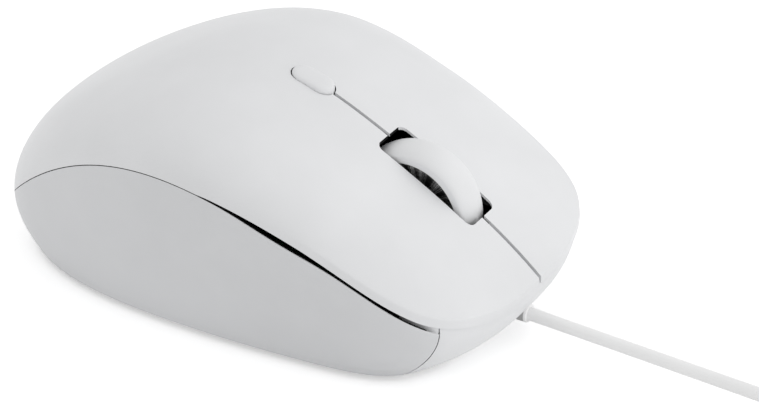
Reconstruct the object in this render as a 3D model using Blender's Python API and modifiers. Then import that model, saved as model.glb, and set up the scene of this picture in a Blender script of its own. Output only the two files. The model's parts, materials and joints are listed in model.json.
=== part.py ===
"""A corded optical computer mouse, as it comes apart on a bench.

Metres, +Z up. +Y is the way the cable leaves and +X is the mouse's right. The origin is on the
table, under the middle of the body.
"""

import math

import bmesh
import bpy
import numpy as np
from mathutils import Matrix, Vector

MM = 0.001

# Body
BODY_LENGTH = 100 * MM
BODY_WIDTH = 62.6 * MM
BODY_HEIGHT = 40.2 * MM
WALL = 2.0 * MM
KEY_WALL = 1.4 * MM
CLEARANCE = 0.3 * MM

# Outline from above: superellipses behind and in front of the widest station
WIDEST_Y = 3.0 * MM
REAR_POWERS = (2.68, 2.86)
FRONT_POWERS = (8.0, 2.65)
FRONT_NARROWING = 0.075

# Ridge line from the side
PEAK_Y = -4.4 * MM
TAIL_HEIGHT = 9.3 * MM
TAIL_POWERS = (1.69, 2.03)
RIDGE_SHARES = (0.36, 0.7, 1.0)
RIDGE_HEIGHTS = (34.3 * MM, 24.8 * MM, 12.8 * MM)

# Side seam, at fifths of the length from the rear end
SEAM_HEIGHTS = (5.9 * MM, 23.6 * MM, 31.1 * MM, 28.5 * MM, 20.9 * MM, 10.3 * MM)

# Cross-section: how far the crown stays level and the shoulder stays upright, rear and front
CROWN = (0.62, 0.75)
SHOULDER = (0.58, 0.75)

# Lower side: the base is set in from the seam, and the wall bulges on its way down
BASE_EDGE = 1.0 * MM
BASE_SIDE_SETBACK = 3.9 * MM
BASE_REAR_SETBACK = 3.0 * MM
BASE_FRONT_SETBACK = 8.9 * MM
BULGE = (0.30, 0.55)
BELLY = (0.70, 0.32)

# Keys
FLEX_Y = 12.2 * MM
HINGE_DEPTH = 4.0 * MM
SEAM_GAP = 0.5 * MM
KEY_GAP = 0.8 * MM
KEY_GAP_START = 4.7 * MM
KEY_GAP_FULL = 22.0 * MM
CREASE_RUN = 7.5 * MM
RIM_HEIGHT = 1.1 * MM
RIM_SHARE = 0.85
RIM_INSET = 0.75 * MM
RIM_RUN = 0.3
RIM_RISE = 0.7
RIM_WALL_SHARE = 0.3
SLIT = 0.5 * MM
SLOT_WIDTH = 8.0 * MM
SLOT_REAR = 20.9 * MM
SLOT_FRONT = 39.0 * MM
SLOT_CORNER = 0.7 * MM

# Pill button
PILL_Y = 5.8 * MM
PILL_LENGTH = 8.5 * MM
PILL_WIDTH = 5.2 * MM
PILL_DEPTH = 4.0 * MM
PILL_PROUD = 0.5 * MM
PILL_STEM_RADIUS = 1.2 * MM

# Floor, skates and case screws
FLOOR_THICKNESS = 1.8 * MM
SIDE_SEAM_Y = 44.5 * MM
FRONT_WALL_DROP = 0.6 * MM
SKATE_THICKNESS = BASE_EDGE - CLEARANCE
SKATE_WIDTH = 7.0 * MM
SKATE_LENGTH = 26.0 * MM
FRONT_SKATE_Y = 33.0 * MM
REAR_SKATE_Y = -37.5 * MM
CASE_SCREW_X = 10.0 * MM
CASE_SCREW_Y = -26.0 * MM
POST_RADIUS = 3.0 * MM
SCREW_SHANK = 0.9 * MM
SCREW_HEAD = 2.0 * MM
SCREW_HEAD_HEIGHT = 0.9 * MM
CASE_SCREW_LENGTH = 9.0 * MM
BORE_SPARE = 2.0 * MM
BOARD_SCREW_LENGTH = 3.4 * MM

# Circuit board
BOARD_BOTTOM = 6.6 * MM
BOARD_THICKNESS = 1.6 * MM
BOARD_HALF_WIDTH = 19.5 * MM
BOARD_REAR = -20.0 * MM
BOARD_FRONT = 41.2 * MM
BOARD_POST_RADIUS = 2.4 * MM
BOARD_CORNER = 2.0 * MM
BOARD_POSTS = (
    (15.0 * MM, -12.0 * MM),
    (-15.0 * MM, -12.0 * MM),
    (15.0 * MM, 22.0 * MM),
    (-16.0 * MM, 34.0 * MM),
)
BOARD_SCREWS = 2

# Key switches, and the small square ones under the wheel and the pill
SWITCH_X = 16.0 * MM
SWITCH_Y = 36.0 * MM
SWITCH_SIZE = (5.8 * MM, 12.8 * MM, 6.5 * MM)
SWITCH_OFFSET = 1.4 * MM
PLUNGER_SIZE = (2.8 * MM, 1.6 * MM)
PLUNGER_RISE = 0.9 * MM
KEY_POST_RADIUS = 1.4 * MM
TACT_SIZE = (6.0 * MM, 6.0 * MM, 3.5 * MM)
TACT_PLUNGER_RADIUS = 1.6 * MM
TACT_RISE = 1.0 * MM
PLUNGER_ROOT = 0.6 * MM

# Wheel and its cradle
WHEEL_Y = 26.5 * MM
WHEEL_Z = 20.0 * MM
WHEEL_RADIUS = 11.4 * MM
TYRE_WIDTH = 7.0 * MM
TYRE_EDGE_DROP = 1.3 * MM
TYRE_INNER_RADIUS = 9.1 * MM
HUB_WIDTH = 5.0 * MM
HUB_WEB = 1.6 * MM
HUB_RIM = 1.2 * MM
HUB_BOSS = 2.4 * MM
HUB_SLOTS = 10
HUB_SLOT_WIDTH = 1.1 * MM
AXLE_RADIUS = 1.0 * MM
ARM_GAP = 0.6 * MM
ARM_THICKNESS = 1.4 * MM
ARM_DEPTH = 4.4 * MM
FRONT_ARM_SHARE = 0.8
CRADLE_BAR = 1.5 * MM
PIVOT_Y = 12.5 * MM
PIVOT_Z = 15.5 * MM
PIN_RADIUS = 0.8 * MM
CRADLE_FRONT_Y = 39.2 * MM
CRADLE_FRONT_Z = 14.8 * MM
BRACKET_EAR = 1.6 * MM
BRACKET_DEPTH = 3.6 * MM
BRACKET_BASE = 1.2 * MM
MIDDLE_SWITCH_X = 9.0 * MM
MIDDLE_SWITCH_Y = 33.0 * MM
TAB_HEIGHT = 2.0 * MM
SPRING_RADIUS = 1.7 * MM
SPRING_WIRE = 0.35 * MM
SPRING_TURNS = 4
SPRING_STEPS = 10

# Optics
SENSOR_Y = -6.0 * MM
SENSOR_SIZE = (9.0 * MM, 10.0 * MM, 2.4 * MM)
LENS_SIZE = (16.0 * MM, 12.0 * MM)
WINDOW_SIZE = (6.0 * MM, 8.0 * MM)
APERTURE_RADIUS = 2.0 * MM
LED_Y = -17.0 * MM
LED_RADIUS = 1.5 * MM
LED_HEIGHT = 4.0 * MM
ENCODER_SIZE = (2.8 * MM, 4.0 * MM, 5.2 * MM)
ENCODER_X = 8.2 * MM

# Cable and its inner end. The inner route's points are (share of the reach to the left side,
# share of the way from the board's socket to the grommet, height)
CABLE_RADIUS = 1.15 * MM
EXIT_SETBACK = 2.4 * MM
EXIT_Z = 5.1 * MM
GROMMET_RADIUS = 1.4 * MM
GROMMET_LENGTH = 6.0 * MM
GROMMET_RING = 1.75 * MM
GROMMET_RING_LENGTH = 0.9 * MM
SOCKET_SIZE = (4.0 * MM, 9.0 * MM, 5.0 * MM)
SOCKET_X = -14.5 * MM
SOCKET_Y = 10.5 * MM
CABLE_PLUG_LENGTH = 2.2 * MM
SIDE_MARGIN = 8.3 * MM
INNER_ROUTE = (
    (0.0, 0.85, 5.0 * MM),
    (0.22, 0.63, 4.9 * MM),
    (0.57, 0.43, 4.9 * MM),
    (0.87, 0.31, 5.3 * MM),
    (1.0, 0.19, 7.0 * MM),
)
PLUG_APPROACH = ((3.8 * MM, 2.0 * MM, -1.4 * MM), (2.3 * MM, 0.1 * MM, -0.1 * MM))

# Free cable: the run from the exit as (distance, height), the stored coil, and the plug on it
COIL_DISTANCE = 64.4 * MM
COIL_OFFSET = 16.1 * MM
COIL_MEAN_RADIUS = 12.65 * MM
COIL_COLUMNS = 4
COIL_ROWS = 5
COIL_PITCH = 2.35 * MM
COIL_STEPS = 28
RUN_ROUTE = (
    (6.4 * MM, 4.8 * MM),
    (18.4 * MM, 4.25 * MM),
    (30.4 * MM, 3.7 * MM),
    (42.4 * MM, 3.15 * MM),
    (55.0 * MM, 2.6 * MM),
)
TAIL_BEND = 6.85 * MM
TAIL_STEPS = 8
TAIL_SETBACK = 6.0 * MM
PLUG_SETBACK = 1.0 * MM
PLUG_LENGTH = 18.0 * MM
PLUG_SIZE = (14.0 * MM, 7.0 * MM)
PLUG_CORNER = 2.0 * MM
USB_SIZE = (12.0 * MM, 4.5 * MM)
USB_LENGTH = 12.0 * MM
USB_SKIN = 0.5 * MM
USB_CORNER = 0.5 * MM
TONGUE_HEIGHT = 1.6 * MM
TIE_WIDTH = 4.0 * MM
TIE_THICKNESS = 0.5 * MM
TIE_CORNER = 1.0 * MM

HALF_LENGTH = BODY_LENGTH / 2
HALF_WIDTH = BODY_WIDTH / 2
FLOOR_TOP = BASE_EDGE + FLOOR_THICKNESS
BOARD_TOP = BOARD_BOTTOM + BOARD_THICKNESS
ON_BOARD = BOARD_TOP + CLEARANCE
ARM_INNER = TYRE_WIDTH / 2 + ARM_GAP
ARM_OUTER = ARM_INNER + ARM_THICKNESS
EXIT_Y = HALF_LENGTH - EXIT_SETBACK
GROMMET_REAR = EXIT_Y - GROMMET_LENGTH
COIL_CENTRE = (-COIL_OFFSET, EXIT_Y + COIL_DISTANCE)
COIL_BOTTOM = TIE_THICKNESS + CLEARANCE
COIL_TOP = COIL_BOTTOM + COIL_ROWS * COIL_PITCH
COIL_HALF_DEPTH = COIL_COLUMNS * COIL_PITCH / 2
PLUG_REAR = COIL_CENTRE[1] - PLUG_SETBACK
PLUG_Z = COIL_TOP + CLEARANCE + PLUG_SIZE[1] / 2
PLUNGER_TOP = ON_BOARD + SWITCH_SIZE[2] + PLUNGER_RISE


# Collections and materials

for old in list(bpy.data.objects):
    bpy.data.objects.remove(old)
PARTS = bpy.data.collections.new("corded_mouse")
CUTTERS = bpy.data.collections.new("cutters")
for group in (PARTS, CUTTERS):
    bpy.context.scene.collection.children.link(group)


def material(name, colour, roughness, metallic=0.0):
    made = bpy.data.materials.new(name)
    made.use_nodes = True
    shader = made.node_tree.nodes["Principled BSDF"]
    shader.inputs["Base Color"].default_value = (*colour, 1.0)
    shader.inputs["Roughness"].default_value = roughness
    shader.inputs["Metallic"].default_value = metallic
    return made


WHITE = material("white_plastic", (0.80, 0.80, 0.80), 0.5)
PALE = material("pale_grey_plastic", (0.68, 0.68, 0.69), 0.55)
RUBBER = material("white_rubber", (0.78, 0.78, 0.78), 0.6)
BLACK = material("black_plastic", (0.02, 0.02, 0.02), 0.25)
GREEN = material("circuit_board", (0.03, 0.20, 0.08), 0.45)
STEEL = material("steel", (0.60, 0.60, 0.62), 0.3, 1.0)
CLEAR = material("clear_lens", (0.80, 0.85, 0.90), 0.1)
SKATE = material("low_friction_skate", (0.85, 0.85, 0.84), 0.4)
CABLE = material("cable_sheath", (0.82, 0.82, 0.82), 0.5)


# The body's surface

def between(pair, share):
    return pair[0] + (pair[1] - pair[0]) * share


def superellipse(share, powers):
    return max(0.0, 1 - share ** powers[0]) ** (1 / powers[1])


def half_width(y):
    """Half the body's width at the side seam."""
    if y < WIDEST_Y:
        return HALF_WIDTH * superellipse((WIDEST_Y - y) / (WIDEST_Y + HALF_LENGTH), REAR_POWERS)
    share = (y - WIDEST_Y) / (HALF_LENGTH - WIDEST_Y)
    taper = 1 - FRONT_NARROWING * math.sin(share * math.pi / 2) ** 2
    return HALF_WIDTH * taper * superellipse(share, FRONT_POWERS)


NOSE_DROPS = [BODY_HEIGHT - height for height in RIDGE_HEIGHTS]
NOSE_CURVE = np.linalg.solve([[s**2, s**3, s**4] for s in RIDGE_SHARES], NOSE_DROPS)
SEAM_CURVE = np.polyfit(np.linspace(-1, 1, len(SEAM_HEIGHTS)), SEAM_HEIGHTS, len(SEAM_HEIGHTS) - 1)


def ridge_height(y):
    """Height of the body's middle line."""
    if y < PEAK_Y:
        share = (PEAK_Y - y) / (PEAK_Y + HALF_LENGTH)
        return TAIL_HEIGHT + (BODY_HEIGHT - TAIL_HEIGHT) * superellipse(share, TAIL_POWERS)
    share = (y - PEAK_Y) / (HALF_LENGTH - PEAK_Y)
    return BODY_HEIGHT - float(np.dot(NOSE_CURVE, (share**2, share**3, share**4)))


def seam_height(y):
    return float(np.polyval(SEAM_CURVE, y / HALF_LENGTH))


def length_share(y):
    return y / BODY_LENGTH + 0.5


def section_curve(y, corners, s):
    """A point of a cubic curve in the plane of a section, from its four corners (x, z)."""
    shares = ((1 - s) ** 3, 3 * s * (1 - s) ** 2, 3 * s**2 * (1 - s), s**3)
    x = sum(share * corner[0] for share, corner in zip(shares, corners))
    z = sum(share * corner[1] for share, corner in zip(shares, corners))
    return Vector((x, y, z))


def top_point(y, s):
    """A point of the right half of the top, from the ridge (s = 0) to the side seam (s = 1)."""
    width, ridge, seam = half_width(y), ridge_height(y), seam_height(y)
    crown = between(CROWN, length_share(y))
    shoulder = seam + between(SHOULDER, length_share(y)) * (ridge - seam)
    corners = ((0, ridge), (crown * width, ridge), (width, shoulder), (width, seam))
    return section_curve(y, corners, s)


def side_point(y, s):
    """A point of the right lower side, from the seam (s = 0) to the base's edge (s = 1)."""
    share = length_share(y)
    width, seam = half_width(y), seam_height(y)
    base_width = width * (1 - BASE_SIDE_SETBACK / HALF_WIDTH)
    base_y = between((-HALF_LENGTH + BASE_REAR_SETBACK, HALF_LENGTH - BASE_FRONT_SETBACK), share)
    bulge = between(BULGE, share)
    b0, b1, b2, b3 = (1 - s) ** 3, 3 * s * (1 - s) ** 2, 3 * s**2 * (1 - s), s**3
    x = (b0 + b1) * width + b2 * between((width, base_width), bulge) + b3 * base_width
    along = (b0 + b1) * y + b2 * between((y, base_y), bulge) + b3 * base_y
    return Vector((x, along, seam * (b0 + b1 * BELLY[0] + b2 * BELLY[1]) + BASE_EDGE * b3))


def solve(function, low, high, wanted):
    """The argument between low and high at which a steady function has the wanted value."""
    rising = function(high) > function(low)
    for _ in range(40):
        middle = (low + high) / 2
        if (function(middle) < wanted) == rising:
            low = middle
        else:
            high = middle
    return (low + high) / 2


def top_height(x, y):
    """Height of the top over a point of the plan."""
    return top_point(y, solve(lambda s: top_point(y, s).x, 0, 1, abs(x))).z


def stations(first, last, count):
    """Values of y from first to last along the outline seen from above, close together at its ends."""
    fine = first + (last - first) * (1 - np.cos(np.linspace(0, np.pi, 300))) / 2
    outline = np.array([(half_width(y), y) for y in fine])
    run = np.concatenate([[0], np.cumsum(np.linalg.norm(np.diff(outline, axis=0), axis=1))])
    return [float(y) for y in np.interp(run[-1] * (1 - np.cos(np.linspace(0, np.pi, count))) / 2, run, fine)]


def ease(share):
    """A soft step from 0 to 1."""
    share = min(1.0, max(0.0, share))
    return share * share * (3 - 2 * share)


def edge_gap(y):
    """Height of the gap between the top and the side panel: a hairline that opens beside the keys."""
    return between((SEAM_GAP, KEY_GAP), ease((y - KEY_GAP_START) / (KEY_GAP_FULL - KEY_GAP_START)))


def lower_edge(y):
    """Where a section of the top stops, above the side seam by the gap."""
    return solve(lambda s: top_point(y, s).z, 0.3, 1, seam_height(y) + edge_gap(y))


# Building blocks

def add(name, mesh, finish, group=PARTS):
    made = bpy.data.objects.new(name, mesh)
    group.objects.link(made)
    if finish:
        mesh.materials.append(finish)
    return made


def from_bmesh(name, shape, finish):
    mesh = bpy.data.meshes.new(name)
    shape.to_mesh(mesh)
    shape.free()
    return add(name, mesh, finish)


def as_cutter(made):
    """Turns an object into a hidden helper of a Boolean."""
    PARTS.objects.unlink(made)
    CUTTERS.objects.link(made)
    made.hide_render = True
    made.display_type = "WIRE"
    return made


def boolean(made, others, operation):
    for other in others:
        step = made.modifiers.new(other.name, "BOOLEAN")
        step.operation = operation
        step.object = as_cutter(other)
    return made


def cut(made, *others):
    return boolean(made, others, "DIFFERENCE")


def join(made, *others):
    return boolean(made, others, "UNION")


def smooth(made):
    made.data.shade_smooth()
    made.data.set_sharp_from_angle(angle=math.radians(35))
    return made


def set_origin(made, point):
    """Puts an object's origin on its joint, with its shape where it was."""
    for vertex in made.data.vertices:
        vertex.co -= Vector(point)
    made.location = point
    return made


def box(name, centre, size, finish=None):
    """A box on a base centre: size is across X, Y and up from the centre's Z."""
    shape = bmesh.new()
    bmesh.ops.create_cube(shape, size=1.0)
    bmesh.ops.scale(shape, vec=size, verts=shape.verts)
    bmesh.ops.translate(shape, vec=Vector(centre) + Vector((0, 0, size[2] / 2)), verts=shape.verts)
    return from_bmesh(name, shape, finish)


def rod(name, start, end, radius, finish=None, sides=14):
    shape = bmesh.new()
    start, end = Vector(start), Vector(end)
    bmesh.ops.create_cone(
        shape, cap_ends=True, segments=sides, radius1=radius, radius2=radius, depth=(end - start).length
    )
    turn = (end - start).to_track_quat("Z", "Y").to_matrix()
    bmesh.ops.rotate(shape, matrix=turn, verts=shape.verts)
    bmesh.ops.translate(shape, vec=(start + end) / 2, verts=shape.verts)
    return smooth(from_bmesh(name, shape, finish))


def to_mesh(curve, finish):
    """Replaces a curve object by its mesh, with the caps welded on."""
    bpy.context.view_layer.update()
    graph = bpy.context.evaluated_depsgraph_get()
    mesh = bpy.data.meshes.new_from_object(curve.evaluated_get(graph))
    name, place = curve.name, curve.matrix_world.copy()
    bpy.data.objects.remove(curve)
    shape = bmesh.new()
    shape.from_mesh(mesh)
    bmesh.ops.remove_doubles(shape, verts=shape.verts, dist=1e-6)
    bmesh.ops.transform(shape, matrix=place, verts=shape.verts)
    bpy.data.meshes.remove(mesh)
    return from_bmesh(name, shape, finish)


def spline_curve(name, points, closed):
    data = bpy.data.curves.new(name, "CURVE")
    line = data.splines.new("POLY")
    line.points.add(len(points) - 1)
    for point, place in zip(line.points, points):
        point.co = (*place, 1.0)
    line.use_cyclic_u = closed
    made = bpy.data.objects.new(name, data)
    PARTS.objects.link(made)
    return made


def plate(name, outline, bottom, top, finish=None):
    """A flat plate with an outline in X and Y."""
    curve = spline_curve(name, [(x, y, 0.0) for x, y in outline], closed=True)
    curve.data.dimensions = "2D"
    curve.data.fill_mode = "BOTH"
    curve.data.extrude = (top - bottom) / 2
    curve.location.z = (bottom + top) / 2
    return to_mesh(curve, finish)


def tube(name, points, radius, finish):
    curve = spline_curve(name, points, closed=False)
    curve.data.dimensions = "3D"
    curve.data.bevel_depth = radius
    curve.data.bevel_resolution = 2
    curve.data.use_fill_caps = True
    curve.data.materials.append(finish)
    return curve


def stadium(first, last, radius, steps=6):
    """Outline of a bar with round ends between two points of a plane."""
    first, last = Vector(first), Vector(last)
    heading = math.atan2(last.y - first.y, last.x - first.x)
    outline = []
    for centre, start in ((last, heading - math.pi / 2), (first, heading + math.pi / 2)):
        for step in range(steps + 1):
            angle = start + math.pi * step / steps
            outline.append((centre.x + radius * math.cos(angle), centre.y + radius * math.sin(angle)))
    return outline


def rounded_rectangle(centre, size, radius, steps=4):
    outline = []
    for quarter, (sx, sy) in enumerate(((1, 1), (-1, 1), (-1, -1), (1, -1))):
        corner_x = centre[0] + sx * (size[0] / 2 - radius)
        corner_y = centre[1] + sy * (size[1] / 2 - radius)
        for step in range(steps + 1):
            angle = math.pi / 2 * (quarter + step / steps)
            outline.append((corner_x + radius * math.cos(angle), corner_y + radius * math.sin(angle)))
    return outline


def turned(name, profile, place, axis, finish, steps=COIL_STEPS):
    """A ring or disc turned from a closed profile of (radius, distance along the axis)."""
    mesh = bpy.data.meshes.new(name)
    count = len(profile)
    edges = [(i, (i + 1) % count) for i in range(count)]
    mesh.from_pydata([(radius, 0, along) for radius, along in profile], edges, [])
    made = add(name, mesh, finish)
    screw = made.modifiers.new("turn", "SCREW")
    screw.steps = steps
    screw.render_steps = steps
    screw.use_merge_vertices = True
    screw.merge_threshold = 1e-6
    screw.use_normal_calculate = True
    made.location = place
    made.rotation_euler = Vector(axis).to_track_quat("Z", "Y").to_euler()
    return made


def shell(name, rows, finish, thickness=WALL, reverse=False, edge_share=1.0):
    """A wall of the body: an outer surface through rows of points, thickened inwards.

    The wall keeps only a share of its thickness at the last point of each row.
    """
    columns = len(rows[0])
    faces = []
    for i in range(len(rows) - 1):
        for j in range(columns - 1):
            a, b = i * columns + j, (i + 1) * columns + j
            face = (a, a + 1, b + 1, b)
            faces.append(face[::-1] if reverse else face)
    mesh = bpy.data.meshes.new(name)
    mesh.from_pydata([point for row in rows for point in row], [], faces)
    made = add(name, mesh, finish)
    group = made.vertex_groups.new(name="wall")
    for index in range(len(mesh.vertices)):
        last = index % columns == columns - 1
        group.add([index], edge_share if last else 1.0, "REPLACE")
    weld = made.modifiers.new("weld", "WELD")
    weld.merge_threshold = 1e-6
    thicken = made.modifiers.new("wall", "SOLIDIFY")
    thicken.vertex_group = group.name
    thicken.thickness = thickness
    thicken.offset = -1.0
    thicken.use_even_offset = True
    return smooth(made)


def mirror_x(points):
    return [Vector((-p.x, p.y, p.z)) for p in points]


def screw(name, x, y, head_bottom, length, head_up):
    """A screw along Z. Its head is on the side that head_up says."""
    middle = head_bottom + SCREW_HEAD_HEIGHT / 2
    reach = length + SCREW_HEAD_HEIGHT / 2
    head_top = (x, y, head_bottom + SCREW_HEAD_HEIGHT)
    head = rod(name, (x, y, head_bottom), head_top, SCREW_HEAD, STEEL, sides=16)
    tip = middle - reach if head_up else middle + reach
    return join(head, rod(name + "_shank", (x, y, middle), (x, y, tip), SCREW_SHANK, sides=12))


# Top: palm cover and keys

def top_row(y, first, count):
    """Points of a section from x = first to the gap: the top as far as a crease, then the keys' rim."""
    start = solve(lambda s: top_point(y, s).x, 0, 1, first)
    last = lower_edge(y)
    shares = [math.sin(math.pi / 2 * j / (count - 1)) for j in range(count)]
    plain = [top_point(y, start + (last - start) * share) for share in shares]
    width, ridge, edge = half_width(y), ridge_height(y), plain[-1].z
    rim = min(RIM_HEIGHT, RIM_SHARE * (ridge - edge))
    reach, crease = width - min(RIM_INSET, width / 2), edge + rim
    fall = ridge - crease
    crown = between(CROWN, length_share(y))
    shoulder = (reach * (1 - RIM_RUN), crease + RIM_RISE * fall)
    corners = ((0, ridge), (crown * reach, ridge), shoulder, (reach, crease))
    start = solve(lambda s: section_curve(y, corners, s).x, 0, 1, first)
    creased = [section_curve(y, corners, start + (1 - start) * j / (count - 2)) for j in range(count - 1)]
    creased.append(Vector((width, y, edge)))
    return [a.lerp(b, ease((y - FLEX_Y) / CREASE_RUN)) for a, b in zip(plain, creased)]


def post_under_top(name, x, y, radius, bottom):
    """A post that ends inside the wall of the top."""
    around = [2 * math.pi * k / 8 for k in range(8)]
    roof = min(top_height(x + radius * math.cos(a), y + radius * math.sin(a)) for a in around)
    return rod(name, (x, y, bottom), (x, y, roof - KEY_WALL / 4), radius)


def build_palm_cover():
    rows = []
    for y in stations(-HALF_LENGTH, FLEX_Y - CLEARANCE / 2, 18):
        half = top_row(y, 0, 9)
        rows.append(mirror_x(half[:0:-1]) + half)
    cover = shell("palm_cover", rows, WHITE)
    reach = PILL_LENGTH / 2 - PILL_WIDTH / 2
    hole = stadium((0, PILL_Y - reach), (0, PILL_Y + reach), PILL_WIDTH / 2 + CLEARANCE)
    cut(cover, plate("pill_hole", hole, BODY_HEIGHT / 2, BODY_HEIGHT * 1.1))
    for side in (1, -1):
        x, y = side * CASE_SCREW_X, CASE_SCREW_Y
        join(cover, post_under_top("cover_post", x, y, POST_RADIUS, FLOOR_TOP + CLEARANCE))
        bore_top = BASE_EDGE + CASE_SCREW_LENGTH + BORE_SPARE
        cut(cover, rod("post_bore", (x, y, 0), (x, y, bore_top), SCREW_SHANK + CLEARANCE))


def build_key(name, side):
    tip = solve(half_width, HALF_LENGTH * 0.9, HALF_LENGTH, 2 * SLIT)
    rows = []
    for y in stations(FLEX_Y + CLEARANCE / 2, tip, 18):
        row = top_row(y, SLIT / 2, 11)
        rows.append(row if side > 0 else mirror_x(row))
    key = shell(name, rows, WHITE, KEY_WALL, side < 0, RIM_WALL_SHARE)
    foot = PLUNGER_TOP + CLEARANCE
    join(key, post_under_top("key_post", side * SWITCH_X, SWITCH_Y, KEY_POST_RADIUS, foot))
    middle = (SLOT_REAR + SLOT_FRONT) / 2
    slot = rounded_rectangle((0, middle), (SLOT_WIDTH, SLOT_FRONT - SLOT_REAR), SLOT_CORNER)
    cut(key, plate("wheel_slot", slot, 0, BODY_HEIGHT))
    set_origin(key, (0, FLEX_Y, ridge_height(FLEX_Y) - HINGE_DEPTH))


def build_pill():
    reach = PILL_LENGTH / 2 - PILL_WIDTH / 2
    outline = stadium((0, PILL_Y - reach), (0, PILL_Y + reach), PILL_WIDTH / 2)
    pill = plate("dpi_button", outline, PILL_PROUD - PILL_DEPTH, PILL_PROUD, WHITE)
    for vertex in pill.data.vertices:
        vertex.co.z += ridge_height(vertex.co.y)
    stem_top = ridge_height(PILL_Y) - PILL_DEPTH / 2
    stem_foot = ON_BOARD + TACT_SIZE[2] + TACT_RISE + CLEARANCE
    join(pill, rod("pill_stem", (0, PILL_Y, stem_foot), (0, PILL_Y, stem_top), PILL_STEM_RADIUS))
    set_origin(pill, (0, PILL_Y, stem_top))


# Lower body: side panels and bottom case

def side_row(y, side, first=0.0, count=8):
    """Points of the lower side from first to the base, closest together at its upper edge."""
    shares = [1 - math.cos(math.pi / 2 * j / (count - 1)) for j in range(count)]
    row = [side_point(y, first + (1 - first) * share) for share in shares]
    return row if side > 0 else mirror_x(row)


def build_side_panel(name, side):
    first = solve(half_width, -HALF_LENGTH, -HALF_LENGTH * 0.9, CLEARANCE / 2)
    rows = [side_row(y, side) for y in stations(first, SIDE_SEAM_Y - CLEARANCE / 2, 24)]
    shell(name, rows, PALE, reverse=side < 0)


def inset(outline, distances):
    """Moves each point of a closed outline, which runs anticlockwise, inwards by its own distance."""
    moved = []
    for i, (x, y) in enumerate(outline):
        before, after = outline[i - 1], outline[(i + 1) % len(outline)]
        along = Vector((after[0] - before[0], after[1] - before[1])).normalized()
        moved.append((x - along.y * distances[i], y + along.x * distances[i]))
    return moved


def base_outline():
    """The floor's outline: clear of the side panels, and inside the front wall that it joins."""
    right = stations(-HALF_LENGTH, HALF_LENGTH, 34)
    points = [(side_point(y, 1).x, side_point(y, 1).y) for y in right]
    left = [(-x, y) for x, y in points[-2:0:-1]]
    sides = right + right[-2:0:-1]
    distances = [WALL / 2 if y > SIDE_SEAM_Y else WALL + CLEARANCE for y in sides]
    return inset(points + left, distances)


def build_bottom_case():
    front = stations(SIDE_SEAM_Y + CLEARANCE / 2, HALF_LENGTH, 10)
    tops = [solve(lambda s: side_point(y, s).z, 0, 1, seam_height(y) - FRONT_WALL_DROP) for y in front]
    right = [side_row(y, 1, top) for y, top in zip(front, tops)]
    rows = right + [mirror_x(row) for row in right[-2::-1]]
    case = shell("bottom_case", rows, WHITE)
    join(case, plate("floor", base_outline(), BASE_EDGE, FLOOR_TOP))
    root = BASE_EDGE + FLOOR_THICKNESS / 2
    for x, y in BOARD_POSTS:
        join(case, rod("board_post", (x, y, root), (x, y, BOARD_BOTTOM - CLEARANCE), BOARD_POST_RADIUS))
    for x, y in BOARD_POSTS[:BOARD_SCREWS]:
        low = BOARD_TOP - BOARD_SCREW_LENGTH - CLEARANCE
        cut(case, rod("board_bore", (x, y, low), (x, y, BOARD_TOP), SCREW_SHANK + CLEARANCE))
    for side in (1, -1):
        x = side * CASE_SCREW_X
        foot = (x, CASE_SCREW_Y, 0)
        cut(case, rod("case_bore", foot, (x, CASE_SCREW_Y, BOARD_TOP), SCREW_SHANK + CLEARANCE))
        recess_top = BASE_EDGE + SCREW_HEAD_HEIGHT + CLEARANCE
        cut(case, rod("head_recess", foot, (x, CASE_SCREW_Y, recess_top), SCREW_HEAD + CLEARANCE))
    cut(case, box("sensor_window", (0, SENSOR_Y, 0), (*WINDOW_SIZE, BOARD_BOTTOM)))
    hole_radius = GROMMET_RING + CLEARANCE
    cut(case, rod("cable_hole", (0, GROMMET_REAR, EXIT_Z), (0, HALF_LENGTH, EXIT_Z), hole_radius))


def build_skates():
    for name, y in (("front_skate", FRONT_SKATE_Y), ("rear_skate", REAR_SKATE_Y)):
        reach = SKATE_LENGTH / 2 - SKATE_WIDTH / 2
        plate(name, stadium((-reach, y), (reach, y), SKATE_WIDTH / 2), 0, SKATE_THICKNESS, SKATE)


def build_screws():
    for name, side in (("right_case_screw", 1), ("left_case_screw", -1)):
        screw(name, side * CASE_SCREW_X, CASE_SCREW_Y, BASE_EDGE, CASE_SCREW_LENGTH, head_up=False)
    for name, (x, y) in zip(("right_board_screw", "left_board_screw"), BOARD_POSTS):
        screw(name, x, y, ON_BOARD, BOARD_SCREW_LENGTH, head_up=True)


# Electronics

def build_board():
    middle = (BOARD_REAR + BOARD_FRONT) / 2
    size = (2 * BOARD_HALF_WIDTH, BOARD_FRONT - BOARD_REAR)
    outline = rounded_rectangle((0, middle), size, BOARD_CORNER)
    board = plate("circuit_board", outline, BOARD_BOTTOM, BOARD_TOP, GREEN)
    opening = (2 * ARM_OUTER, 2 * WHEEL_RADIUS, 2 * BOARD_BOTTOM)
    cut(board, box("wheel_opening", (0, WHEEL_Y, 0), opening))
    cut(board, rod("sensor_aperture", (0, SENSOR_Y, 0), (0, SENSOR_Y, 2 * BOARD_TOP), APERTURE_RADIUS))
    for x, y in BOARD_POSTS[:BOARD_SCREWS]:
        cut(board, rod("board_hole", (x, y, 0), (x, y, 2 * BOARD_TOP), SCREW_SHANK + CLEARANCE))


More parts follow.
